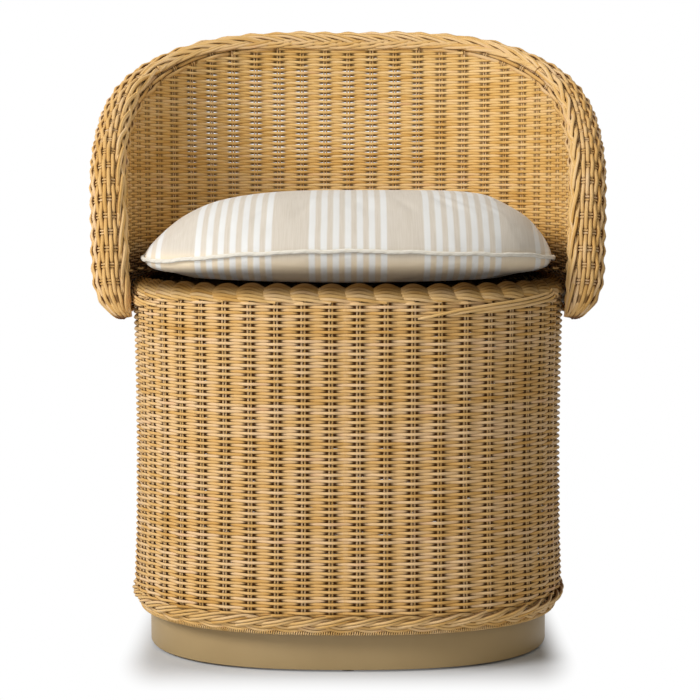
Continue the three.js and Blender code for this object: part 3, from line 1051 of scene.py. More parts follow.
class StrandTree:
    """The geometry tree that weaves guide lines over and under their stakes and gives them a body."""

    inputs = (
        ("Radius", "NodeSocketFloat"),
        ("Lift", "NodeSocketFloat"),
        ("Spread", "NodeSocketFloat"),
        ("Wander", "NodeSocketFloat"),
        ("Dive", "NodeSocketFloat"),
        ("Sides", "NodeSocketInt"),
        ("Seed", "NodeSocketFloat"),
        ("Finish", "NodeSocketMaterial"),
    )

    drift_scale = 55.0

    def __init__(self) -> None:
        """Draws the tree once."""
        self.tree = bpy.data.node_groups.new("strands", "GeometryNodeTree")
        face = self.tree.interface
        face.new_socket(name="Geometry", in_out="INPUT", socket_type="NodeSocketGeometry")
        for name, kind in self.inputs:
            face.new_socket(name=name, in_out="INPUT", socket_type=kind)
        face.new_socket(name="Geometry", in_out="OUTPUT", socket_type="NodeSocketGeometry")
        kit = NodeKit(self.tree)
        given = kit.node("NodeGroupInput").outputs
        size = {name: Field(kit, given[name]) for name, _ in self.inputs}
        out = self._carried(kit, Attribute.OUT, "FLOAT_VECTOR")
        wave = (self._carried(kit, Attribute.PHASE, "FLOAT") * math.pi).cosine()
        swing = wave.sign() * abs(wave).power(size["Dive"])
        woven = self._times(kit, out, swing * size["Lift"])
        size_out = kit.value("ShaderNodeVectorMath", {"operation": "LENGTH"}, {0: out}, "Value")
        cubed = size_out * size_out * size_out
        spread = kit.vector(0.0, 0.0, swing * abs(swing) * cubed * cubed * size["Spread"])
        here = kit.value("GeometryNodeInputPosition")
        noise = kit.value(
            "ShaderNodeTexNoise",
            {"noise_dimensions": "4D"},
            {"Vector": here, "Scale": self.drift_scale, "Detail": 1.0, "W": size["Seed"]},
            "Color",
        )
        centred = kit.value(
            "ShaderNodeVectorMath", {"operation": "SUBTRACT"}, {0: noise, 1: (0.5, 0.5, 0.5)}
        )
        drift = self._times(kit, centred, size["Wander"])
        moved = self._plus(kit, self._plus(kit, woven, spread), drift)
        placed = kit.value("GeometryNodeSetPosition", None, {"Geometry": given["Geometry"], "Offset": moved})
        # The swing, which also sets where the finish paints shade behind the stakes
        placed = self._stored(kit, placed, Attribute.SWING, swing)
        lines = kit.value("GeometryNodeMeshToCurve", None, {0: placed})
        run = kit.value("GeometryNodeSplineParameter", None, None, "Length")
        lines = self._stored(kit, lines, Attribute.ALONG, run)
        ring = kit.value(
            "GeometryNodeCurvePrimitiveCircle", None, {"Resolution": size["Sides"], "Radius": size["Radius"]}
        )
        turn = kit.value("GeometryNodeSplineParameter", None, None, "Factor")
        ring = self._stored(kit, ring, Attribute.ROUND, turn)
        body = kit.value(
            "GeometryNodeCurveToMesh", None, {"Curve": lines, "Profile Curve": ring, "Fill Caps": True}
        )
        # The facing of each point, from which the finish paints shade on the strands' sides
        unit = kit.value("ShaderNodeVectorMath", {"operation": "NORMALIZE"}, {0: out})
        normal = kit.value("GeometryNodeInputNormal")
        facing = kit.value(
            "ShaderNodeVectorMath", {"operation": "DOT_PRODUCT"}, {0: normal, 1: unit}, "Value"
        )
        body = self._stored(kit, body, Attribute.FACING, facing)
        body = kit.value("GeometryNodeRealizeInstances", None, {"Geometry": body})
        body = kit.value("GeometryNodeSetShadeSmooth", None, {"Geometry": body, "Shade Smooth": True})
        body = kit.value("GeometryNodeSetMaterial", None, {"Geometry": body, "Material": size["Finish"]})
        kit.node("NodeGroupOutput", None, {"Geometry": body})
        self.identifiers = {
            item.name: item.identifier for item in face.items_tree if item.in_out == "INPUT"
        }

    @staticmethod
    def _carried(kit: NodeKit, key: Attribute, kind: str) -> Field:
        """A value that the guide lines carry.

        Args:
            kit: The tree's kit.
            key: The value's name.
            kind: Its data type.

        Returns:
            The value.
        """
        return kit.value("GeometryNodeInputNamedAttribute", {"data_type": kind}, {"Name": key.value})

    @staticmethod
    def _stored(kit: NodeKit, shape: Field, key: Attribute, value: Field) -> Field:
        """A geometry that carries one more number.

        Args:
            kit: The tree's kit.
            shape: The geometry.
            key: The number's name.
            value: The number.

        Returns:
            The geometry with it.
        """
        settings = {"data_type": "FLOAT", "domain": "POINT"}
        inputs = {"Geometry": shape, "Name": key.value, "Value": value}
        return kit.value("GeometryNodeStoreNamedAttribute", settings, inputs)

    @staticmethod
    def _times(kit: NodeKit, vector: Field, share: Field) -> Field:
        """A vector times a number."""
        return kit.value("ShaderNodeVectorMath", {"operation": "SCALE"}, {"Vector": vector, "Scale": share})

    @staticmethod
    def _plus(kit: NodeKit, first: Field, second: Field) -> Field:
        """One vector plus another."""
        return kit.value("ShaderNodeVectorMath", {"operation": "ADD"}, {0: first, 1: second})

    def weave(self, name: str, guides: Guides, sizes: StrandSizes, finish: Finish) -> bpy.types.Object:
        """Turns guide lines into one plain mesh of strands.

        Args:
            name: The piece's name.
            guides: Its guide lines.
            sizes: Its strands' sizes.
            finish: Its finish.

        Returns:
            The piece.
        """
        source = placed(name + "_guides", guides.mesh(name + "_guides"))
        modifier = source.modifiers.new("Strands", "NODES")
        modifier.node_group = self.tree
        for label, _ in self.inputs:
            value = finish.material if label == "Finish" else getattr(sizes, label.lower())
            modifier[self.identifiers[label]] = value
        piece = plain_copy(source, name)
        lines = source.data
        bpy.data.objects.remove(source)
        bpy.data.meshes.remove(lines)
        return piece


def placed(name: str, data: bpy.types.ID) -> bpy.types.Object:
    """A new object in the scene, at the origin."""
    made = bpy.data.objects.new(name, data)
    bpy.context.scene.collection.objects.link(made)
    return made


def plain_copy(source: bpy.types.Object, name: str) -> bpy.types.Object:
    """A new object with the mesh that an object's modifiers give it.

    Args:
        source: The object with the modifiers.
        name: The new object's name.

    Returns:
        The new object, at the origin.
    """
    depsgraph = bpy.context.evaluated_depsgraph_get()
    depsgraph.update()
    mesh = bpy.data.meshes.new_from_object(
        source.evaluated_get(depsgraph), preserve_all_data_layers=True, depsgraph=depsgraph
    )
    mesh.name = name
    return placed(name, mesh)


def settle(piece: bpy.types.Object, body: str, replaced: Iterable[str] = ()) -> None:
    """Hands a finished piece to the frame.

    Args:
        piece: The piece.
        body: The body that it moves with.
        replaced: The frame's nodes that it stands for.
    """
    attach(piece, body)
    if replaced:
        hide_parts(*replaced)
    log.info("%s: %d faces, on %s", piece.name, len(piece.data.polygons), body)


# ---- Sub-assemblies


@dataclass(frozen=True)
class Braid:
    """A flat braid, whose groups of strands cross from edge to edge and lie on top while they spread."""

    groups: int
    ply: int
    strand: float
    half: float
    rise: float
    hump: float = 0.75

    def strands(
        self, phase: np.ndarray, half: np.ndarray | float | None = None
    ) -> Iterable[tuple[np.ndarray, np.ndarray]]:
        """The strands' lines in the braid's own section.

        Args:
            phase: The number of crossings passed, at each point.
            half: The half width there, where it isn't the braid's own.

        Yields:
            How far across and how far up each strand is.
        """
        reach = self.half if half is None else half
        for group in range(self.groups):
            turn = math.tau * (phase + group) / self.groups
            for ply in range(self.ply):
                step = (ply - (self.ply - 1) / 2) * 2 * self.strand * (reach / self.half) ** 2
                up = self.rise * (np.sin(2 * turn) + self.hump * np.cos(turn))
                yield reach * np.sin(turn) + step, up


@dataclass
class Drum:
    """The woven drum: rows of strands round paired stakes, a rolled border above and a braided hem."""

    tree: StrandTree
    finishes: Finishes
    plan: PlanCurve
    hem: Braid = Braid(groups=4, ply=2, strand=2.2 * MM, half=7.4 * MM, rise=2.8 * MM)
    stakes: int = 52
    stake_shift: float = 0.38
    row_pitch: float = 3.74 * MM
    samples: int = 6
    strand: float = 2.1 * MM
    lift: float = 3.3 * MM
    spread: float = 0.12 * MM
    wander: float = 0.5 * MM
    rod: float = 1.5 * MM
    rod_half_gap: float = 1.85 * MM
    rod_samples: int = 22
    wall: tuple = ((-6.0, 65.5), (-2.2, 69.0), (1.6, 73.0), (3.4, 77.5), (4.0, 84.0), (3.2, 105.0),
                   (1.4, 153.0), (0.0, 266.5), (0.6, 350.0), (2.5, 447.0), (1.8, 457.0), (-0.6, 463.0),
                   (-5.0, 468.0))
    border_offset: float = -11.5 * MM
    border_height: float = 461.5 * MM
    border_radius: float = 15.5 * MM
    border_strand: float = 2.35 * MM
    border_ply: int = 8
    border_flat: int = 3
    border_start: float = math.radians(-13)
    border_step: float = math.radians(18.5)
    border_dip: tuple = (2.6 * MM, 6.4 * MM)
    border_reach: tuple = (1.02, 0.76)
    border_sag: tuple = (0.14, 0.3)
    border_lean: tuple = (4.2 * MM, 1.8 * MM)
    border_sweep: float = 0.42
    border_least_sweep: float = 0.1
    border_sweep_start: float = 0.09
    border_sweep_length: float = 0.2
    border_fall_power: float = 1.8
    border_most_fall: float = 1.95
    border_samples: int = 15
    hem_offset: float = -2.0 * MM
    hem_height: float = 65 * MM
    hem_turn: float = math.radians(66)
    hem_samples: int = 36
    hem_wander: float = 0.8 * MM
    bind_turns: int = 610
    bind_samples: int = 8
    bind_tone: float = 0.6
    bind_wander: float = 0.6 * MM
    bind_place: tuple = (-6.2 * MM, 53.5 * MM)
    bind_radius: float = 2.1 * MM
    bind_strand: float = 0.95 * MM
    lay_right: tuple = ((84.0, 434.6), (136.0, 445.2), (177.5, 450.2), (224.0, 454.6), (280.5, 460.2),
                        (310.0, 465.0))
    lay_left: tuple = ((-262.0, 446.0), (-300.0, 449.5), (-350.0, 455.0), (-404.0, 462.5))
    lay_strand: float = 2.0 * MM
    lay_fan: tuple = (3.5 * MM, 4.6 * MM)
    lay_count: int = 3
    lay_samples: int = 30
    lay_lag: float = 0.16
    lay_proud: float = 1.4 * MM
    lay_tuck: float = 5.0 * MM
    lay_ends: tuple = (0.05, 0.03)

    @property
    def stake_pitch(self) -> float:
        """The distance between stakes round the drum."""
        return self.plan.total / self.stakes

    @property
    def inset(self) -> float:
        """How far the middle of the weave lies under its surface."""
        return self.lift + self.strand

    def _wall_at(self, distance: np.ndarray) -> np.ndarray:
        """Offsets and heights of the wall's outside at distances up from the hem."""
        return polyline_at(self.wall, distance / MM) * MM

    def build(self) -> None:
        """Builds and hands over every woven piece of the drum."""
        length = polyline_length(self.wall) * MM
        rows = int(length / self.row_pitch)
        low, high = rows // 3, 2 * rows // 3
        cane, braid = self.finishes.drum_cane, self.finishes.braid
        sizes = StrandSizes(self.strand, self.lift, self.spread, self.wander, seed=2.0)
        rod_sizes = StrandSizes(self.rod, sides=ROD_SIDES)
        border_sizes = StrandSizes(self.border_strand, wander=self.wander, seed=5.0)
        lay_sizes = StrandSizes(self.lay_strand, wander=self.wander, seed=7.0)
        hem_sizes = StrandSizes(self.hem.strand, wander=self.hem_wander, seed=6.0)
        weave = self.tree.weave
        lower = weave("drum_weave_lower", self._rows(0, low), sizes, cane)
        middle = weave("drum_weave_middle", self._rows(low, high), sizes, cane)
        upper = weave("drum_weave_upper", self._rows(high, rows), sizes, cane)
        stakes = weave("drum_stakes", self._stakes(length), rod_sizes, cane)
        border = weave("drum_rolled_border", self._border(), border_sizes, self.finishes.border_cane)
        lay = weave("drum_corner_lay", self._lay(), lay_sizes, braid)
        hem = weave("drum_hem_braid", self._hem(), hem_sizes, braid)
        bind_sizes = StrandSizes(self.bind_strand, wander=self.bind_wander, sides=ROD_SIDES, seed=17.0)
        binding = weave("drum_hem_binding", self._binding(), bind_sizes, braid)
        settle(lower, CHAIR, ["drum_weave"])
        for piece in (middle, upper, stakes, border, lay):
            settle(piece, CHAIR)
        settle(hem, CHAIR, ["drum_hem_plait"])
        settle(binding, CHAIR)

    def _rows(self, first: int, last: int) -> Guides:
        """The guide lines of the rows.

        Args:
            first: The lowest row.
            last: The row above the highest.

        Returns:
            The guide lines.
        """
        rng = Draw.DRUM_ROWS.generator(first)
        guides = Guides()
        share = np.arange(self.stakes * self.samples) / (self.stakes * self.samples)
        run = share * self.plan.total
        _, normal = self.plan.at(run)
        for row in range(first, last):
            offset, height = self._wall_at((row + 0.5) * self.row_pitch)
            points = self.plan.point(run, offset - self.inset, height)
            phase = share * self.stakes - self.stake_shift + row
            guides.add(points, Tones.ROWS.pick(rng), normal, phase, closed=True)
        return guides

    def _stakes(self, length: float) -> Guides:
        """The guide lines of the paired stakes.

        Args:
            length: How long the wall's section line is.

        Returns:
            The guide lines.
        """
        rng = Draw.DRUM_STAKES.generator()
        guides = Guides()
        section = self._wall_at(np.linspace(0, length, self.rod_samples))
        for stake in range(self.stakes):
            middle = (stake + self.stake_shift) * self.stake_pitch
            for side in (-1, 1):
                run = np.full(len(section), middle + side * self.rod_half_gap)
                points = self.plan.point(run, section[:, 0] - self.inset, section[:, 1])
                _, normal = self.plan.at(run)
                guides.add(points, Tones.STAKES.pick(rng), normal)
        return guides

    def _across(self, run: np.ndarray, offset: np.ndarray, height: np.ndarray) -> np.ndarray:
        """Directions across the plan curve that lean up by a height for an offset."""
        _, normal = self.plan.at(run)
        leaning = normal * np.broadcast_to(offset, np.shape(run))[..., None]
        leaning[..., 2] = height
        return leaning

    def _border(self) -> Guides:
        """The guide lines of the border: over each stake, nested arches that dive in between stakes.

        The lowest arches are long and flat and cross those of the next stakes. The others are round.
        """
        rng = Draw.BORDER.generator()
        guides = Guides()
        for stake in range(self.stakes):
            middle = (stake + self.stake_shift) * self.stake_pitch
            swell = rng.uniform(-0.5, 0.5) * MM
            past = (middle - self.border_sweep_start) / self.border_sweep_length
            right = np.clip(past, 0, 1) * (middle < self.plan.total / 3)
            for ply in range(self.border_ply):
                bold = min(1.0, ply / self.border_flat)
                flat_and_bold = (self.border_reach, self.border_dip, self.border_sag, self.border_lean)
                reach, dip, sag, lean = (low + (high - low) * bold for low, high in flat_and_bold)
                along = np.linspace(-reach, reach, self.border_samples)
                fall = np.minimum(np.abs(2 * along) ** self.border_fall_power, self.border_most_fall)
                start = self.border_start + ply * self.border_step
                level = self.border_radius - self.border_strand + swell - dip * fall + lean * along
                sweep = self.border_least_sweep + self.border_sweep * right
                turn = start - sag * fall * max(0.0, math.cos(start)) - sweep * along
                cosine, sine = np.cos(turn), np.sin(turn)
                run = middle + along * self.stake_pitch
                points = self.plan.point(
                    run, self.border_offset + level * cosine, self.border_height + level * sine
                )
                guides.add(points, Tones.BRAID.pick(rng), self._across(run, cosine, sine))
        return guides

    def _lay(self) -> Guides:
        """The guide lines of the strands that slant up to the rim's corners."""
        rng = Draw.CORNER_LAY.generator()
        guides = Guides()
        share = np.linspace(0, 1, self.lay_samples)
        low_end, high_end = self.lay_ends
        ends = np.exp(-share / low_end) + np.exp((share - 1) / high_end)
        for curve in (self.lay_right, self.lay_left):
            length = polyline_length(curve)
            for strand in range(self.lay_count):
                lag = self.lay_lag * strand
                line = polyline_at(curve, length * (share * (1 - lag) + lag)) * MM
                fan = self.lay_fan[0] + (self.lay_fan[1] - self.lay_fan[0]) * share
                height = line[:, 1] - fan * strand
                wall = np.interp(height / MM, [p[1] for p in self.wall], [p[0] for p in self.wall]) * MM
                proud = self.lay_proud - self.lay_tuck * ends
                _, normal = self.plan.at(line[:, 0])
                points = self.plan.point(line[:, 0], wall + proud, height)
                guides.add(points, Tones.LAY.pick(rng), normal)
        return guides

    def _hem(self) -> Guides:
        """The guide lines of the hem's braid."""
        rng = Draw.DRUM_HEM.generator()
        guides = Guides()
        turns = round(self.stakes / self.hem.groups)
        count = turns * self.hem_samples
        share = np.arange(count) / count
        run = share * self.plan.total
        cosine, sine = math.cos(self.hem_turn), math.sin(self.hem_turn)
        for across, rise in self.hem.strands(share * turns * self.hem.groups):
            offset = self.hem_offset + across * cosine + rise * sine
            height = self.hem_height + across * sine - rise * cosine
            points = self.plan.point(run, offset, height)
            guides.add(points, Tones.BRAID.pick(rng), self._across(run, sine, -cosine), closed=True)
        return guides

    def _binding(self) -> Guides:
        """The guide line of the thin strand that is wound round the hem's lower edge."""
        guides = Guides()
        turn = math.tau * np.arange(self.bind_turns * self.bind_samples) / self.bind_samples
        run = self.plan.total * np.arange(len(turn)) / len(turn)
        cosine, sine = np.cos(turn), np.sin(turn)
        offset = self.bind_place[0] + self.bind_radius * cosine
        height = self.bind_place[1] + self.bind_radius * sine
        points = self.plan.point(run, offset, height)
        guides.add(points, self.bind_tone, self._across(run, cosine, sine), closed=True)
        return guides


@dataclass
class Back:
    """The wrap-round back: one see-through layer, the roll along its edge, and its plaits."""

    tree: StrandTree
    finishes: Finishes
    edge: BackEdge
    stake_pitch: float = 33 * MM
    row_pitch: float = 3.73 * MM
    samples: int = 6
    strand: float = 2.26 * MM
    lift: float = 3.2 * MM
    spread: float = 1.2 * MM
    wander: float = 0.2 * MM
    sheer_across: tuple = (-0.13, 0.27)
    sheer_height: tuple = (0.595, 0.82)
    sheer_fade: float = 0.05
    side_start: float = 0.22
    side_end: float = 0.32
    shallow: tuple = (0.76, 0.42)
    rod: float = 1.4 * MM
    rod_half_gap: float = 1.8 * MM
    rod_samples: int = 14
    bottom: float = 434 * MM
    over_rim: float = 6 * MM
    under_rim: float = 0.5 * MM
    pocket: tuple = ((8.0, 482.0), (13.5, 470.5), (20.0, 456.5), (24.0, 449.0), (24.6, 444.5),
                     (22.6, 438.0), (18.5, 433.5), (12.3, 431.2))
    pocket_reach: float = 530 * MM
    pocket_proud: float = 2.2 * MM
    roll_count: int = 24
    roll_strand: float = 2.9 * MM
    roll_lift: float = 2.6 * MM
    roll_rod: float = 1.35 * MM
    roll_stand: float = 2.6 * MM
    roll_starts: tuple = (8.0, 11.0)
    roll_open: tuple = (282.0, 352.0)
    roll_wander: float = 0.7 * MM
    roll_ring_samples: int = 22
    roll_end_room: float = 30 * MM
    edge_samples: int = 1200
    arm_from: float = 0.26
    arm_over: float = 0.16
    arm_pitch: float = 21 * MM
    top_pitch: float = 33 * MM
    plait: Braid = Braid(groups=6, ply=2, strand=2.4 * MM, half=9.4 * MM, rise=1.6 * MM)
    plait_half_at_arm: float = 5.4 * MM
    plait_end_side: float = 0.292
    plait_angle: tuple = (28.0, 47.0)
    plait_turns: tuple = (0.05, 0.32)
    plait_wander: float = 0.8 * MM
    plait_start: float = 12 * MM
    plait_off_roll: float = 2 * MM
    plait_sink: float = 1.4 * MM
    hem_middle: tuple = (12.3, 427.4)
    hem_half: tuple = (7.2, 2.8)
    hem_strand: float = 1.7 * MM
    hem_wander: float = 0.6 * MM
    hem_count: int = 10
    hem_lay: int = 5
    hem_pairing: float = 0.012
    hem_samples: int = 300
    hem_end_room: float = 3 * MM

    def build(self) -> None:
        """Builds and hands over every woven piece of the back."""
        cane, braid = self.finishes.cane, self.finishes.braid
        weave = self.tree.weave
        sizes = StrandSizes(self.strand, self.lift, self.spread, self.wander, seed=8.0)
        rod_sizes = StrandSizes(self.rod, sides=ROD_SIDES)
        panel = weave("back_panel_weave", self._panel(), sizes, self.finishes.panel_cane)
        stakes = weave("back_stakes", self._stakes(), rod_sizes, cane)
        pocket = weave("back_pocket_weave", self._pocket(), sizes, cane)
        roll_sizes = StrandSizes(self.roll_strand, self.roll_lift, wander=self.roll_wander, seed=9.0)
        hoop_sizes = StrandSizes(self.roll_rod, sides=ROD_SIDES)
        rolled = self.finishes.roll_cane
        roll = weave("back_roll_strands", self._roll(), roll_sizes, rolled)
        hoops = weave("back_roll_stakes", self._roll_stakes(), hoop_sizes, rolled)
        plait_sizes = StrandSizes(self.plait.strand, wander=self.plait_wander, seed=10.0)
        plait = weave("back_rim_braid", self._plait(), plait_sizes, braid)
        hem_sizes = StrandSizes(self.hem_strand, wander=self.hem_wander, seed=12.0)
        hem = weave("back_hem_lay", self._hem(), hem_sizes, braid)
        settle(panel, CHAIR, ["back_weave"])
        settle(roll, CHAIR, ["back_roll_weave"])
        for piece in (stakes, pocket, hoops):
            settle(piece, CHAIR)
        settle(plait, CHAIR, ["back_rim_plait"])
        settle(hem, CHAIR, ["back_hem_plait"])

    def _line(self, reach: float) -> np.ndarray:
        """Distances from the back middle at the weave's samples, out to a reach on both sides."""
        step = self.stake_pitch / self.samples
        inside = np.arange(math.ceil(-reach / step), math.floor(reach / step) + 1) * step
        return np.concatenate([[-reach], inside[np.abs(inside) < reach - END_ROOM * step], [reach]])

    def _panel(self) -> Guides:
        """The guide lines of the panel's rows."""
        rng = Draw.PANEL.generator()
        guides = Guides()
        top = self.edge.rim_top + self.over_rim
        rows = int((top - self.bottom) / self.row_pitch)
        for row in range(rows):
            height = self.bottom + (row + 0.5) * self.row_pitch
            reach = self.edge.reach_at(min(height, self.edge.rim_top - self.under_rim))
            line = self._line(reach)
            run = self.edge.back_middle + line
            _, normal = self.edge.shell.at(run)
            points = self.edge.shell.point(run, self.lift + self.strand, height)
            depth = self._depth_share(line, height)[:, None]
            guides.add(points, Tones.ROWS.pick(rng), normal * depth, line / self.stake_pitch + row)
        return guides

    def _depth_share(self, line: np.ndarray, height: float) -> np.ndarray:
        """How strongly the rows swing: fully where the panel is sheer, and least on its sides.

        Args:
            line: The distances from the back middle.
            height: The row's height.

        Returns:
            The shares of the full swing.
        """
        window = 1.0
        for value, (low, high) in ((line, self.sheer_across), (height, self.sheer_height)):
            inside = np.minimum(np.asarray(value) - low, high - value) / self.sheer_fade
            window = window * np.clip(inside, 0, 1)
        side = np.clip((np.abs(line) - self.side_start) / (self.side_end - self.side_start), 0, 1)
        front, flank = self.shallow
        plain = front + (flank - front) * smooth(side)
        return plain + (1 - plain) * window

    def _stakes(self) -> Guides:
        """The guide lines of the panel's paired stakes."""
        rng = Draw.PANEL_STAKES.generator()
        guides = Guides()
        reach = int(self.pocket_reach / self.stake_pitch)
        for stake in range(-reach, reach + 1):
            for side in (-1, 1):
                across = stake * self.stake_pitch + side * self.rod_half_gap
                top = float(self.edge.height_at(np.array(across)))
                height = np.linspace(self.bottom, top, self.rod_samples)
                run = np.full(len(height), self.edge.back_middle + across)
                points = self.edge.shell.point(run, self.lift + self.strand, height)
                _, normal = self.edge.shell.at(run)
                guides.add(points, Tones.STAKES.pick(rng), normal)
        return guides

    def _pocket(self) -> Guides:
        """The guide lines of the rows round the lower rail, on the back's outside."""
        rng = Draw.POCKET.generator()
        guides = Guides()
        rows = int(polyline_length(self.pocket) * MM / self.row_pitch)
        for row in range(rows):
            offset, height = polyline_at(self.pocket, (row + 0.5) * self.row_pitch / MM) * MM
            reach = min(self.pocket_reach, self.edge.reach_at(height))
            line = self._line(reach)
            run = self.edge.back_middle + line
            _, normal = self.edge.shell.at(run)
            middle = offset - self.lift - self.strand + self.pocket_proud
            points = self.edge.shell.point(run, middle, height)
            guides.add(points, Tones.ROWS.pick(rng), normal, line / self.stake_pitch + row)
        return guides

    @property
    def roll_inset(self) -> float:
        """How far the middle of the roll's weave lies under the roll's surface."""
        return self.roll_lift + self.roll_strand - self.roll_stand

    @cached_property
    def roll_phase(self) -> tuple[np.ndarray, np.ndarray]:
        """Distances along the edge and the number of roll stakes passed there, from the top middle."""
        run = np.linspace(0, self.edge.length, self.edge_samples)
        across = np.abs(self.edge.flat_at(run)[:, 0])
        share = smooth(np.clip((across - self.arm_from) / self.arm_over, 0, 1))
        pitch = self.top_pitch + (self.arm_pitch - self.top_pitch) * share
        passed = np.concatenate([[0], np.cumsum(np.diff(run) / ((pitch[1:] + pitch[:-1]) / 2))])
        return run, passed - passed[-1] / 2

    def _roll_line(self, start: float) -> tuple[np.ndarray, np.ndarray]:
        """Distances along the edge that fall evenly between roll stakes, and the stakes passed.

        Args:
            start: How far from each tip the line starts.

        Returns:
            The distances and the stakes passed.
        """
        run, passed = self.roll_phase
        low, high = np.interp([start, self.edge.length - start], run, passed)
        inside = np.arange(math.ceil(low * self.samples), math.floor(high * self.samples) + 1) / self.samples
        phase = np.concatenate([[low], inside[1:-1], [high]])
        return np.interp(phase, passed, run), phase

    def _roll(self) -> Guides:
        """The guide lines of the roll's strands, which run along the edge."""
        rng = Draw.ROLL.generator()
        guides = Guides()
        for strand in range(self.roll_count):
            turn = math.tau * strand / self.roll_count
            if self.roll_open[0] < math.degrees(turn) < self.roll_open[1]:
                continue
            run, phase = self._roll_line(self.roll_starts[strand % len(self.roll_starts)] * MM)
            angle = np.full(len(run), turn)
            points, out, share = self.edge.roll(run, angle, self.roll_inset)
            guides.add(points, Tones.ROWS.pick(rng), out * share[:, None], phase + strand)
        return guides

    def _roll_stakes(self) -> Guides:
        """The guide lines of the paired stakes that go round the roll."""
        rng = Draw.ROLL_STAKES.generator()
        guides = Guides()
        run, passed = self.roll_phase
        count = self.roll_ring_samples
        angle = math.tau * np.arange(count) / count
        for stake in range(math.ceil(passed[0]), math.floor(passed[-1]) + 1):
            middle = float(np.interp(stake, passed, run))
            if not self.roll_end_room < middle < self.edge.length - self.roll_end_room:
                continue
            for side in (-1, 1):
                place = np.full(count, middle + side * self.rod_half_gap)
                points, out, _ = self.edge.roll(place, angle, self.roll_inset)
                guides.add(points, Tones.STAKES.pick(rng), out, closed=True)
        return guides

    def _plait(self) -> Guides:
        """The guide lines of the braid on the roll's inner side."""
        rng = Draw.PLAIT.generator()
        guides = Guides()
        run, _ = self._roll_line(self.plait_start)
        stretch, passed = self.roll_phase
        phase = np.interp(run, stretch, passed)
        start, end = self.plait_turns
        reach = np.abs(self.edge.flat_at(run)[:, 0])
        lean = smooth(np.clip((reach - start) / (end - start), 0, 1))
        at_top, at_arm = self.plait_angle
        middle = np.radians(at_top + (at_arm - at_top) * lean)
        half = self.plait.half + (self.plait_half_at_arm - self.plait.half) * lean
        on_top = np.flatnonzero(reach < self.plait_end_side)
        on_top = slice(on_top[0], on_top[-1] + 1)
        for strand, (across, rise) in enumerate(self.plait.strands(phase, half)):
            angle = middle + across / (self.edge.roll_radius + self.plait_off_roll)
            points, out, share = self.edge.roll(run, angle, 0.0)
            points = points + out * ((rise + self.roll_stand - self.plait_sink) * share)[:, None]
            kept = on_top if strand // self.plait.ply % 2 else slice(None)
            guides.add(points[kept], Tones.BRAID.pick(rng), out[kept])
        return guides

    def _hem(self) -> Guides:
        """The guide lines of the hem under the back, wound round its flat core."""
        rng = Draw.BACK_HEM.generator()
        guides = Guides()
        reach = self.pocket_reach - self.hem_end_room
        across = np.linspace(-reach, reach, self.hem_samples)
        run = self.edge.back_middle + across
        for strand in range(self.hem_count):
            start = strand / self.hem_count + self.hem_pairing * (strand % 2)
            turn = math.tau * (across / (self.hem_lay * self.stake_pitch) + start)
            offset = (self.hem_middle[0] + self.hem_half[0] * np.cos(turn)) * MM
            height = (self.hem_middle[1] - self.hem_half[1] * np.sin(turn)) * MM
            _, normal = self.edge.shell.at(run)
            out = normal * np.cos(turn)[:, None]
            out[:, 2] = -np.sin(turn)
            guides.add(self.edge.shell.point(run, offset, height), Tones.BACK_HEM.pick(rng), out)
        return guides


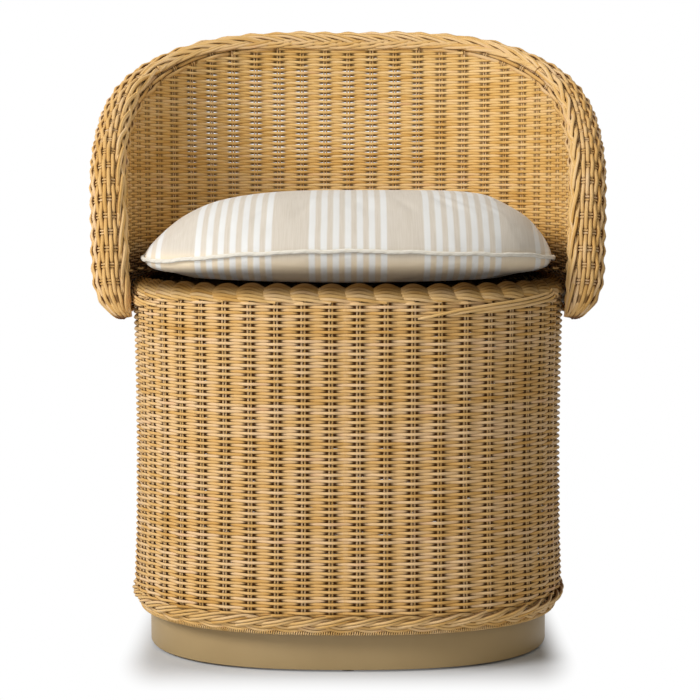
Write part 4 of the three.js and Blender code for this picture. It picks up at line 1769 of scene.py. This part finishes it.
@dataclass
class SeatDeck:
    """The woven deck under the cushion."""

    tree: StrandTree
    finishes: Finishes
    plan: PlanCurve
    inside: float = -24.4 * MM
    height: float = 460 * MM
    row_pitch: float = 3.8 * MM
    stake_pitch: float = 33 * MM
    samples: int = 4
    strand: float = 1.75 * MM
    lift: float = 2.1 * MM
    wander: float = 0.4 * MM
    rod: float = 1.4 * MM
    rod_half_gap: float = 1.6 * MM
    rod_samples: int = 8
    outline_samples: int = 800
    sides: int = 5

    def build(self) -> None:
        """Builds and hands over the deck."""
        run = np.linspace(0, self.plan.total, self.outline_samples)
        ring = self.plan.point(run, self.inside, self.height)
        right = ring[ring[:, 0] >= 0]
        right = right[np.argsort(right[:, 1])]
        rng = Draw.DECK.generator()
        rows = self._rows(right, rng)
        rods = self._stakes(right, rng)
        sizes = StrandSizes(self.strand, self.lift, wander=self.wander, sides=self.sides, seed=14.0)
        rod_sizes = StrandSizes(self.rod, sides=ROD_SIDES)
        deck = self.tree.weave("seat_deck_strands", rows, sizes, self.finishes.shaded_deck_cane)
        stakes = self.tree.weave("seat_deck_stakes", rods, rod_sizes, self.finishes.shaded_deck_cane)
        settle(deck, CHAIR, ["seat_deck_weave"])
        settle(stakes, CHAIR)

    def _rows(self, right: np.ndarray, rng: np.random.Generator) -> Guides:
        """The guide lines of the rows, from side to side.

        Args:
            right: The right half of the deck's outline, from front to back.
            rng: The generator of the strands' tones.

        Returns:
            The guide lines.
        """
        guides = Guides()
        front, back = right[0, 1], right[-1, 1]
        count = int((back - front) / self.row_pitch)
        step = self.stake_pitch / self.samples
        for row in range(count):
            depth = front + (row + 0.5) * (back - front) / count
            reach = float(np.interp(depth, right[:, 1], right[:, 0])) - self.strand
            line = np.arange(math.ceil(-reach / step), math.floor(reach / step) + 1) * step
            line = np.concatenate([[-reach], line[np.abs(line) < reach - END_ROOM * step], [reach]])
            guides.add(*self._level(line, depth, Tones.ROWS.pick(rng)), line / self.stake_pitch + row)
        return guides

    def _stakes(self, right: np.ndarray, rng: np.random.Generator) -> Guides:
        """The guide lines of the paired stakes, from front to back.

        Args:
            right: The right half of the deck's outline, from front to back.
            rng: The generator of the strands' tones.

        Returns:
            The guide lines.
        """
        guides = Guides()
        near = right[right[:, 1] < self.plan.middle_y]
        far = right[right[:, 1] >= self.plan.middle_y]
        reach = int(right[:, 0].max() / self.stake_pitch)
        for stake in range(-reach, reach + 1):
            across = stake * self.stake_pitch
            low = float(np.interp(abs(across), near[:, 0], near[:, 1]))
            high = float(np.interp(-abs(across), -far[:, 0], far[:, 1]))
            for side in (-1, 1):
                depth = np.linspace(low + self.strand, high - self.strand, self.rod_samples)
                guides.add(*self._level(across + side * self.rod_half_gap, depth, Tones.STAKES.pick(rng)))
        return guides

    def _level(
        self, across: np.ndarray | float, depth: np.ndarray | float, tone: float
    ) -> tuple[np.ndarray, float, np.ndarray]:
        """A level strand of the deck, as guide lines take it.

        Args:
            across: How far along X its points are.
            depth: How far along Y they are.
            tone: Its tone.

        Returns:
            Its points, its tone and the upward direction at each point.
        """
        points = np.stack(np.broadcast_arrays(across, depth, self.height), -1)
        return points, tone, np.tile([0.0, 0.0, 1.0], (len(points), 1))


@dataclass
class Cushion:
    """The loose cushion: a stuffed cover that swells from its seam, and the welt round it."""

    tree: StrandTree
    finishes: Finishes
    plan: PlanCurve
    side_draw: float = 5 * MM
    seam: float = 500 * MM
    seam_arch: float = 14.5 * MM
    arch_power: float = 1.75
    corner_dip: float = 3.5 * MM
    crown: float = 582.5 * MM
    bottom: float = 464.6 * MM
    belly_rise: float = 14 * MM
    belly_power: float = 1.3
    crown_form: tuple = (3.0, 0.6)
    lower_form: tuple = (12.0, 0.4)
    right_power: float = 3.0
    swell_cap: float = 4 * MM
    voxel: float = 5 * MM
    around: int = 160
    rings: int = 30
    seam_samples: int = 720
    batch: int = 4000
    held_room: float = 7 * MM
    swell_reach: float = 40 * MM
    cloth_quality: int = 5
    cloth_mass: float = 0.3
    cloth_stretch: float = 12.0
    cloth_shear: float = 4.0
    cloth_bend: float = 0.6
    pressure: float = 4.0
    frames: int = 20
    folds: tuple = ((61, 1.3, 0.5), (97, 0.4, 0.35), (37, 2.2, 0.45))
    fold_reach: float = 17 * MM
    fold_start: float = 4 * MM
    fold_below: float = -0.6
    fold_height: tuple = (0.8, 1.3)
    welt_radius: float = 2.6 * MM
    welt_out: float = 0.8
    welt_waver: float = 0.5 * MM
    welt_waves: tuple = ((23, 0.7, 1.0), (41, 2.0, 0.7))
    welt_wander: float = 0.6 * MM
    welt_samples: int = 300
    welt_sides: int = 12

    def _outline(self, count: int) -> tuple[np.ndarray, np.ndarray]:
        """The seam's line.

        Args:
            count: How many points it has.

        Returns:
            Its points and the directions out of it.
        """
        run = self.plan.total * np.arange(count) / count
        place, normal = self.plan.at(run)
        corner = (2 * np.abs(normal[:, 0] * normal[:, 1])) ** 2
        across = place[:, 0] / self.plan.half_width
        place = place - normal * (self.side_draw * (1 - corner))[:, None]
        arch = self.seam_arch * (1 - np.abs(across) ** self.arch_power)
        place[:, 2] = self.seam + arch + self.corner_dip * corner * np.sign(across)
        return place, normal

    def _floor_at(self, places: np.ndarray) -> np.ndarray:
        """The lowest that the cushion comes at points: on the deck in its middle, clear of the rim."""
        across = places[:, 0] / self.plan.half_width
        along = (places[:, 1] - self.plan.middle_y) / self.plan.half_depth
        return self.bottom + self.belly_rise * np.minimum(1, np.hypot(across, along)) ** self.belly_power

    def _shape(self) -> tuple[list, list]:
        """The cushion before it swells: points and faces of a closed form that meets at the seam."""
        seam, _ = self._outline(self.around)
        middle = np.array([0.0, self.plan.middle_y, 0.0])
        right = np.clip(seam[:, 0] / self.plan.half_width, 0, 1) ** 2
        points: list = []
        for upward in (True, False):
            shares = np.sin(np.linspace(0, math.pi / 2, self.rings + 1))[1:]
            power, fullness = self.crown_form if upward else self.lower_form
            if upward:
                power = power + self.right_power * right
            for share in shares if upward else shares[::-1][1:]:
                row = middle + (seam - middle) * share
                target = self.crown if upward else self._floor_at(row)
                rise = np.maximum(0.0, 1 - share**power) ** fullness
                row[:, 2] = seam[:, 2] + (target - seam[:, 2]) * rise
                points.extend(row.tolist())
        rows = len(points) // self.around
        faces = []
        for row in range(rows - 1):
            for i in range(self.around):
                j = (i + 1) % self.around
                a, b = row * self.around, (row + 1) * self.around
                faces.append((a + i, b + i, b + j, a + j))
        top, bottom = len(points), len(points) + 1
        points.append([0.0, self.plan.middle_y, self.crown])
        points.append([0.0, self.plan.middle_y, self.bottom])
        last = (rows - 1) * self.around
        for i in range(self.around):
            j = (i + 1) % self.around
            faces.append((top, i, j))
            faces.append((bottom, last + j, last + i))
        return points, faces

    def _seam_height(self, places: np.ndarray) -> tuple[np.ndarray, np.ndarray]:
        """How high the seam is beside points, and how far they are from it.

        Args:
            places: The points.

        Returns:
            The heights and the distances.
        """
        seam, _ = self._outline(self.seam_samples)
        height = np.empty(len(places))
        far = np.empty(len(places))
        for first in range(0, len(places), self.batch):
            last = first + self.batch
            part = places[first:last]
            gap = np.linalg.norm(part[:, None, :] - seam[None], axis=2)
            nearest = gap.argmin(1)
            height[first:last] = seam[nearest, 2]
            far[first:last] = gap[np.arange(len(part)), nearest]
        return height, far

    def _swell(self, pad: bpy.types.Object) -> np.ndarray:
        """Fills the pad with air for a few frames of cloth simulation.

        Args:
            pad: The remeshed pad.

        Returns:
            Where its points end up.
        """
        scene = bpy.context.scene
        cloth = pad.modifiers.new("Cloth", "CLOTH")
        settings = cloth.settings
        settings.quality = self.cloth_quality
        settings.mass = self.cloth_mass
        settings.tension_stiffness = self.cloth_stretch
        settings.compression_stiffness = self.cloth_stretch
        settings.shear_stiffness = self.cloth_shear
        settings.bending_stiffness = self.cloth_bend
        settings.use_pressure = True
        settings.uniform_pressure_force = self.pressure
        settings.vertex_group_mass = "seam"
        settings.effector_weights.gravity = 0.0
        for step in range(1, self.frames + 1):
            scene.frame_set(step)
        depsgraph = bpy.context.evaluated_depsgraph_get()
        shaped = pad.evaluated_get(depsgraph).data
        places = np.empty(len(shaped.vertices) * 3, np.float32)
        shaped.vertices.foreach_get("co", places)
        pad.modifiers.remove(cloth)
        scene.frame_set(1)
        return places.reshape(-1, 3).astype(float)

    def build(self) -> None:
        """Builds and hands over the cushion and its welt."""
        points, faces = self._shape()
        mesh = bpy.data.meshes.new("cushion_start")
        mesh.from_pydata(points, [], faces)
        start = placed("cushion_start", mesh)
        remesh = start.modifiers.new("Remesh", "REMESH")
        remesh.mode = "VOXEL"
        remesh.voxel_size = self.voxel
        pad = plain_copy(start, "cushion_pad")
        bpy.data.objects.remove(start)
        rest = np.array([v.co for v in pad.data.vertices], float)
        _, far = self._seam_height(rest)
        held = pad.vertex_groups.new(name="seam")
        for index in np.flatnonzero(far < self.held_room):
            held.add([int(index)], 1.0, "REPLACE")
        places = rest
        moved = self._swell(pad) - rest
        size = np.linalg.norm(moved, axis=1, keepdims=True)
        limit = self.swell_cap * np.clip(far / self.swell_reach, 0, 1)[:, None]
        places = rest + moved * np.minimum(1, limit / np.maximum(size, TINY))
        places = self._pucker(places, far)
        places[:, 2] = np.maximum(places[:, 2], self._floor_at(places))
        pad.data.vertices.foreach_set("co", places.astype(np.float32).ravel())
        smooth = pad.modifiers.new("Smooth", "SMOOTH")
        smooth.iterations = 2
        fine = pad.modifiers.new("Subdivision", "SUBSURF")
        fine.levels = fine.render_levels = 1
        cover = plain_copy(pad, "cushion_cover")
        bpy.data.objects.remove(pad)
        cover.data.shade_smooth()
        cover.data.materials.clear()
        cover.data.materials.append(self.finishes.cloth.material)
        welt = self._welt()
        settle(
            cover, CUSHION, ["cushion_top_cover", "cushion_bottom_cover", "cushion_core"]
        )
        settle(welt, CUSHION, ["cushion_welt"])

    def _pucker(self, places: np.ndarray, far: np.ndarray) -> np.ndarray:
        """Draws the cloth into short folds that fade away from the seam.

        Args:
            places: The cushion's points.
            far: Their distances from the seam.

        Returns:
            The points with the folds.
        """
        turn = np.arctan2(places[:, 1] - self.plan.middle_y, places[:, 0])
        corner = np.abs(np.sin(2 * turn)) ** 2
        fade = np.exp(-far / self.fold_reach) * np.clip(far / self.fold_start, 0, 1)
        side = np.where(places[:, 2] > self.seam, 1.0, self.fold_below)
        plain, more = self.fold_height
        moved = places.copy()
        moved[:, 2] += waves(turn, self.folds) * fade * side * (plain + more * corner) * MM
        return moved

    def _welt(self) -> bpy.types.Object:
        """The welt: one cord along the seam, whose ends meet at the back."""
        seam, normal = self._outline(self.welt_samples)
        run = np.linspace(0, math.tau, self.welt_samples, endpoint=False)
        line = seam + normal * (self.welt_radius * self.welt_out)
        line[:, 2] += self.welt_waver * waves(run, self.welt_waves)
        guides = Guides()
        guides.add(np.roll(line, len(line) // 2, axis=0), 0.5, closed=True)
        sizes = StrandSizes(self.welt_radius, wander=self.welt_wander, sides=self.welt_sides, seed=16.0)
        return self.tree.weave("cushion_welt_cord", guides, sizes, self.finishes.welt)


@dataclass
class Plinth:
    """The recessed plinth's painted wall, bent from sheet, with softly broken edges."""

    finishes: Finishes
    plan: PlanCurve
    bottom: float = 2.6 * MM
    top: float = 55 * MM
    sheet: float = 3 * MM
    edge: float = 1.1 * MM
    around: int = 240

    def build(self) -> None:
        """Builds and hands over the wall."""
        soft = self.edge * (1 - math.sqrt(0.5))
        half = [
            (-self.edge, self.bottom),
            (-soft, self.bottom + soft),
            (0.0, self.bottom + self.edge),
            (0.0, self.top - self.edge),
            (-soft, self.top - soft),
            (-self.edge, self.top),
        ]
        section = half + [(-self.sheet - offset, height) for offset, height in reversed(half)]
        run = self.plan.total * np.arange(self.around) / self.around
        rows = [self.plan.point(run, offset, height) for offset, height in section]
        levels = len(section)
        faces = []
        for level in range(levels):
            low, high = level * self.around, (level + 1) % levels * self.around
            for i in range(self.around):
                j = (i + 1) % self.around
                faces.append((low + i, low + j, high + j, high + i))
        mesh = bpy.data.meshes.new("plinth_sheet")
        mesh.from_pydata(np.concatenate(rows).tolist(), [], faces)
        mesh.shade_smooth()
        mesh.materials.append(self.finishes.paint.material)
        wall = placed("plinth_sheet", mesh)
        settle(wall, CHAIR, ["plinth_wall"])


@dataclass
class FrameDress:
    """The finishes of the frame's own nodes."""

    finishes: Finishes

    def build(self) -> None:
        """Gives each node of the frame its finish."""
        by_start = {
            "frame_": self.finishes.tube,
            "seat_cross": self.finishes.tube,
            "back_hoop": self.finishes.tube,
            "back_lower": self.finishes.tube,
            "back_stub": self.finishes.tube,
            "ring_bracket": self.finishes.steel,
            "bracket_screw": self.finishes.steel,
            "glide": self.finishes.glide,
            "plinth": self.finishes.paint,
            "cushion_core": self.finishes.foam,
            "cushion_": self.finishes.cloth,
        }
        for name, node in frame["nodes"].items():
            start = next((key for key in by_start if name.startswith(key)), None)
            finish = by_start[start] if start else self.finishes.cane
            node.data.materials.clear()
            node.data.materials.append(finish.material)
        log.info("%d nodes dressed", len(frame["nodes"]))


@dataclass(frozen=True)
class Lamp:
    """One soft square lamp: where it hangs, the point it faces, the length of its side, and its watts."""

    name: str
    place: tuple
    aim: tuple
    size: float
    power: float

    def hang(self) -> None:
        """Adds the lamp to the scene."""
        light = bpy.data.lights.new(self.name, "AREA")
        light.size = self.size
        light.energy = self.power
        lamp = placed(self.name, light)
        lamp.location = self.place
        toward = np.array(self.aim) - np.array(self.place)
        tilt = math.atan2(math.hypot(toward[0], toward[1]), -toward[2])
        lamp.rotation_euler = (tilt, 0.0, math.atan2(toward[1], toward[0]) - math.pi / 2)


@dataclass
class Studio:
    """The floor, the lamps, the world and the camera."""

    lens: float = 101.77
    place: tuple = (0.0025, -2.6231, 0.6015)
    pitch: float = 4.951
    sensor: float = 36.0
    lamps: tuple = (
        Lamp("key", (-2.3, -1.9, 2.0), (0.0, 0.0, 0.5), 1.2, 80.0),
        Lamp("fill", (-0.7, -3.0, 0.3), (0.0, 0.0, 0.45), 1.6, 27.0),
        Lamp("top", (0.1, 0.2, 2.6), (0.0, 0.0, 0.4), 1.5, 15.0),
    )
    floor_half: float = 12.0
    floor_tint: tuple = (0.70, 0.72, 0.755)
    shadow_from: tuple = (0.226, 0.16)
    shadow_reach: tuple = (0.064, 0.185)
    fade_from: float = 0.25
    ambient: float = 0.25
    ambient_tint: tuple = (1.0, 0.915, 0.76)

    def build(self) -> None:
        """Sets up the studio."""
        self._floor()
        self._world()
        for lamp in self.lamps:
            lamp.hang()
        self._camera()
        bpy.context.scene.view_settings.view_transform = "Standard"

    def _floor(self) -> None:
        """The floor, which is white to the camera away from the chair and keeps its shadow."""
        half = self.floor_half
        mesh = bpy.data.meshes.new("floor")
        corners = [(-half, -half, 0.0), (half, -half, 0.0), (half, half, 0.0), (-half, half, 0.0)]
        mesh.from_pydata(corners, [], [(0, 1, 2, 3)])
        floor = placed("floor", mesh)
        material = bpy.data.materials.new("floor")
        material.use_nodes = True
        material.node_tree.nodes.clear()
        kit = NodeKit(material.node_tree)
        coords = kit.value("ShaderNodeTexCoord", None, None, "Object")
        parts = kit.node("ShaderNodeSeparateXYZ", None, {0: coords}).outputs
        outside = []
        for axis, (start, reach) in enumerate(zip(self.shadow_from, self.shadow_reach)):
            beyond = abs(Field(kit, parts[axis])) - start
            outside.append((beyond + abs(beyond)) * (0.5 / reach))
        far = (outside[0] * outside[0] + outside[1] * outside[1]).power(0.5)
        plain = kit.node("ShaderNodeBsdfDiffuse", None, {"Color": (*self.floor_tint, 1.0)})
        white = kit.node("ShaderNodeEmission", None, {"Color": (1.0, 1.0, 1.0, 1.0), "Strength": 1.0})
        share = far.ease(self.fade_from, 1.0) * self._seen(kit)
        parts = {0: share, 1: plain.outputs[0], 2: white.outputs[0]}
        mixed_floor = kit.node("ShaderNodeMixShader", None, parts)
        kit.node("ShaderNodeOutputMaterial", None, {"Surface": mixed_floor.outputs[0]})
        mesh.materials.append(material)

    @staticmethod
    def _seen(kit: NodeKit) -> Field:
        """One for rays that show the background, straight or by metal and glass, and nought for others."""
        rays = kit.node("ShaderNodeLightPath").outputs
        seen = Field(kit, rays["Is Camera Ray"]) + Field(kit, rays["Is Glossy Ray"])
        return (seen + Field(kit, rays["Is Transmission Ray"])).ease(0.0, 1.0)

    def _world(self) -> None:
        """The world: soft light on the chair, and white where the camera looks past it."""
        world = bpy.data.worlds.new("studio")
        bpy.context.scene.world = world
        world.use_nodes = True
        world.node_tree.nodes.clear()
        kit = NodeKit(world.node_tree)
        seen = self._seen(kit)
        strength = self.ambient + (1.0 - self.ambient) * seen
        white = (1.0, 1.0, 1.0, 1.0)
        colour = kit.mix(seen, (*self.ambient_tint, 1.0), white)
        back = kit.node("ShaderNodeBackground", None, {"Color": colour, "Strength": strength})
        kit.node("ShaderNodeOutputWorld", None, {"Surface": back.outputs[0]})

    def _camera(self) -> None:
        """The camera at the photograph's place."""
        data = bpy.data.cameras.new("camera")
        data.lens = self.lens
        data.sensor_width = self.sensor
        data.sensor_fit = "HORIZONTAL"
        camera = placed("camera", data)
        camera.location = self.place
        camera.rotation_euler = (math.radians(90 - self.pitch), 0.0, 0.0)
        bpy.context.scene.camera = camera


@dataclass
class Chair:
    """The chair's shared curves, taken from the sizes of its frame."""

    base_half_width: float = 277 * MM
    base_half_depth: float = 251 * MM
    plan_power: float = 2.5
    shell_side_room: float = 7 * MM
    shell_back_room: float = 5 * MM
    centre_y: float = -23 * MM
    cushion_side_room: float = 8 * MM
    cushion_end_room: float = 21 * MM
    cushion_back: float = 7 * MM
    cushion_power: float = 2.9
    plinth_side_recess: float = 17 * MM
    plinth_front_recess: float = 27 * MM

    def plinth_plan(self) -> PlanCurve:
        """The plinth's outline in plan."""
        return PlanCurve(
            self.base_half_width - self.plinth_side_recess,
            self.base_half_depth - self.plinth_front_recess,
            self.plan_power,
            self.centre_y,
        )

    def drum_plan(self) -> PlanCurve:
        """The drum's outline in plan."""
        return PlanCurve(self.base_half_width, self.base_half_depth, self.plan_power, self.centre_y)

    def shell_plan(self) -> PlanCurve:
        """The back shell's inner outline in plan."""
        return PlanCurve(
            self.base_half_width + self.shell_side_room,
            self.base_half_depth + self.shell_back_room,
            self.plan_power,
            self.centre_y,
        )

    def cushion_plan(self) -> PlanCurve:
        """The cushion's outline in plan."""
        return PlanCurve(
            self.base_half_width - self.cushion_side_room,
            self.base_half_depth - self.cushion_end_room,
            self.cushion_power,
            self.centre_y + self.cushion_back,
        )


def main() -> None:
    """Builds the chair's pieces in order."""
    logging.basicConfig(level=logging.INFO, format="%(name)s %(message)s")
    chair = Chair()
    finishes = Finishes()
    tree = StrandTree()
    steps: tuple[tuple[str, Callable[[], None]], ...] = (
        ("frame", FrameDress(finishes).build),
        ("plinth", Plinth(finishes, chair.plinth_plan()).build),
        ("drum", Drum(tree, finishes, chair.drum_plan()).build),
        ("back", Back(tree, finishes, BackEdge(chair.shell_plan())).build),
        ("seat deck", SeatDeck(tree, finishes, chair.drum_plan()).build),
        ("cushion", Cushion(tree, finishes, chair.cushion_plan()).build),
        ("studio", Studio().build),
    )
    for name, build in steps:
        build()
        log.info("%s built", name)


if __name__ == "__main__":
    main()
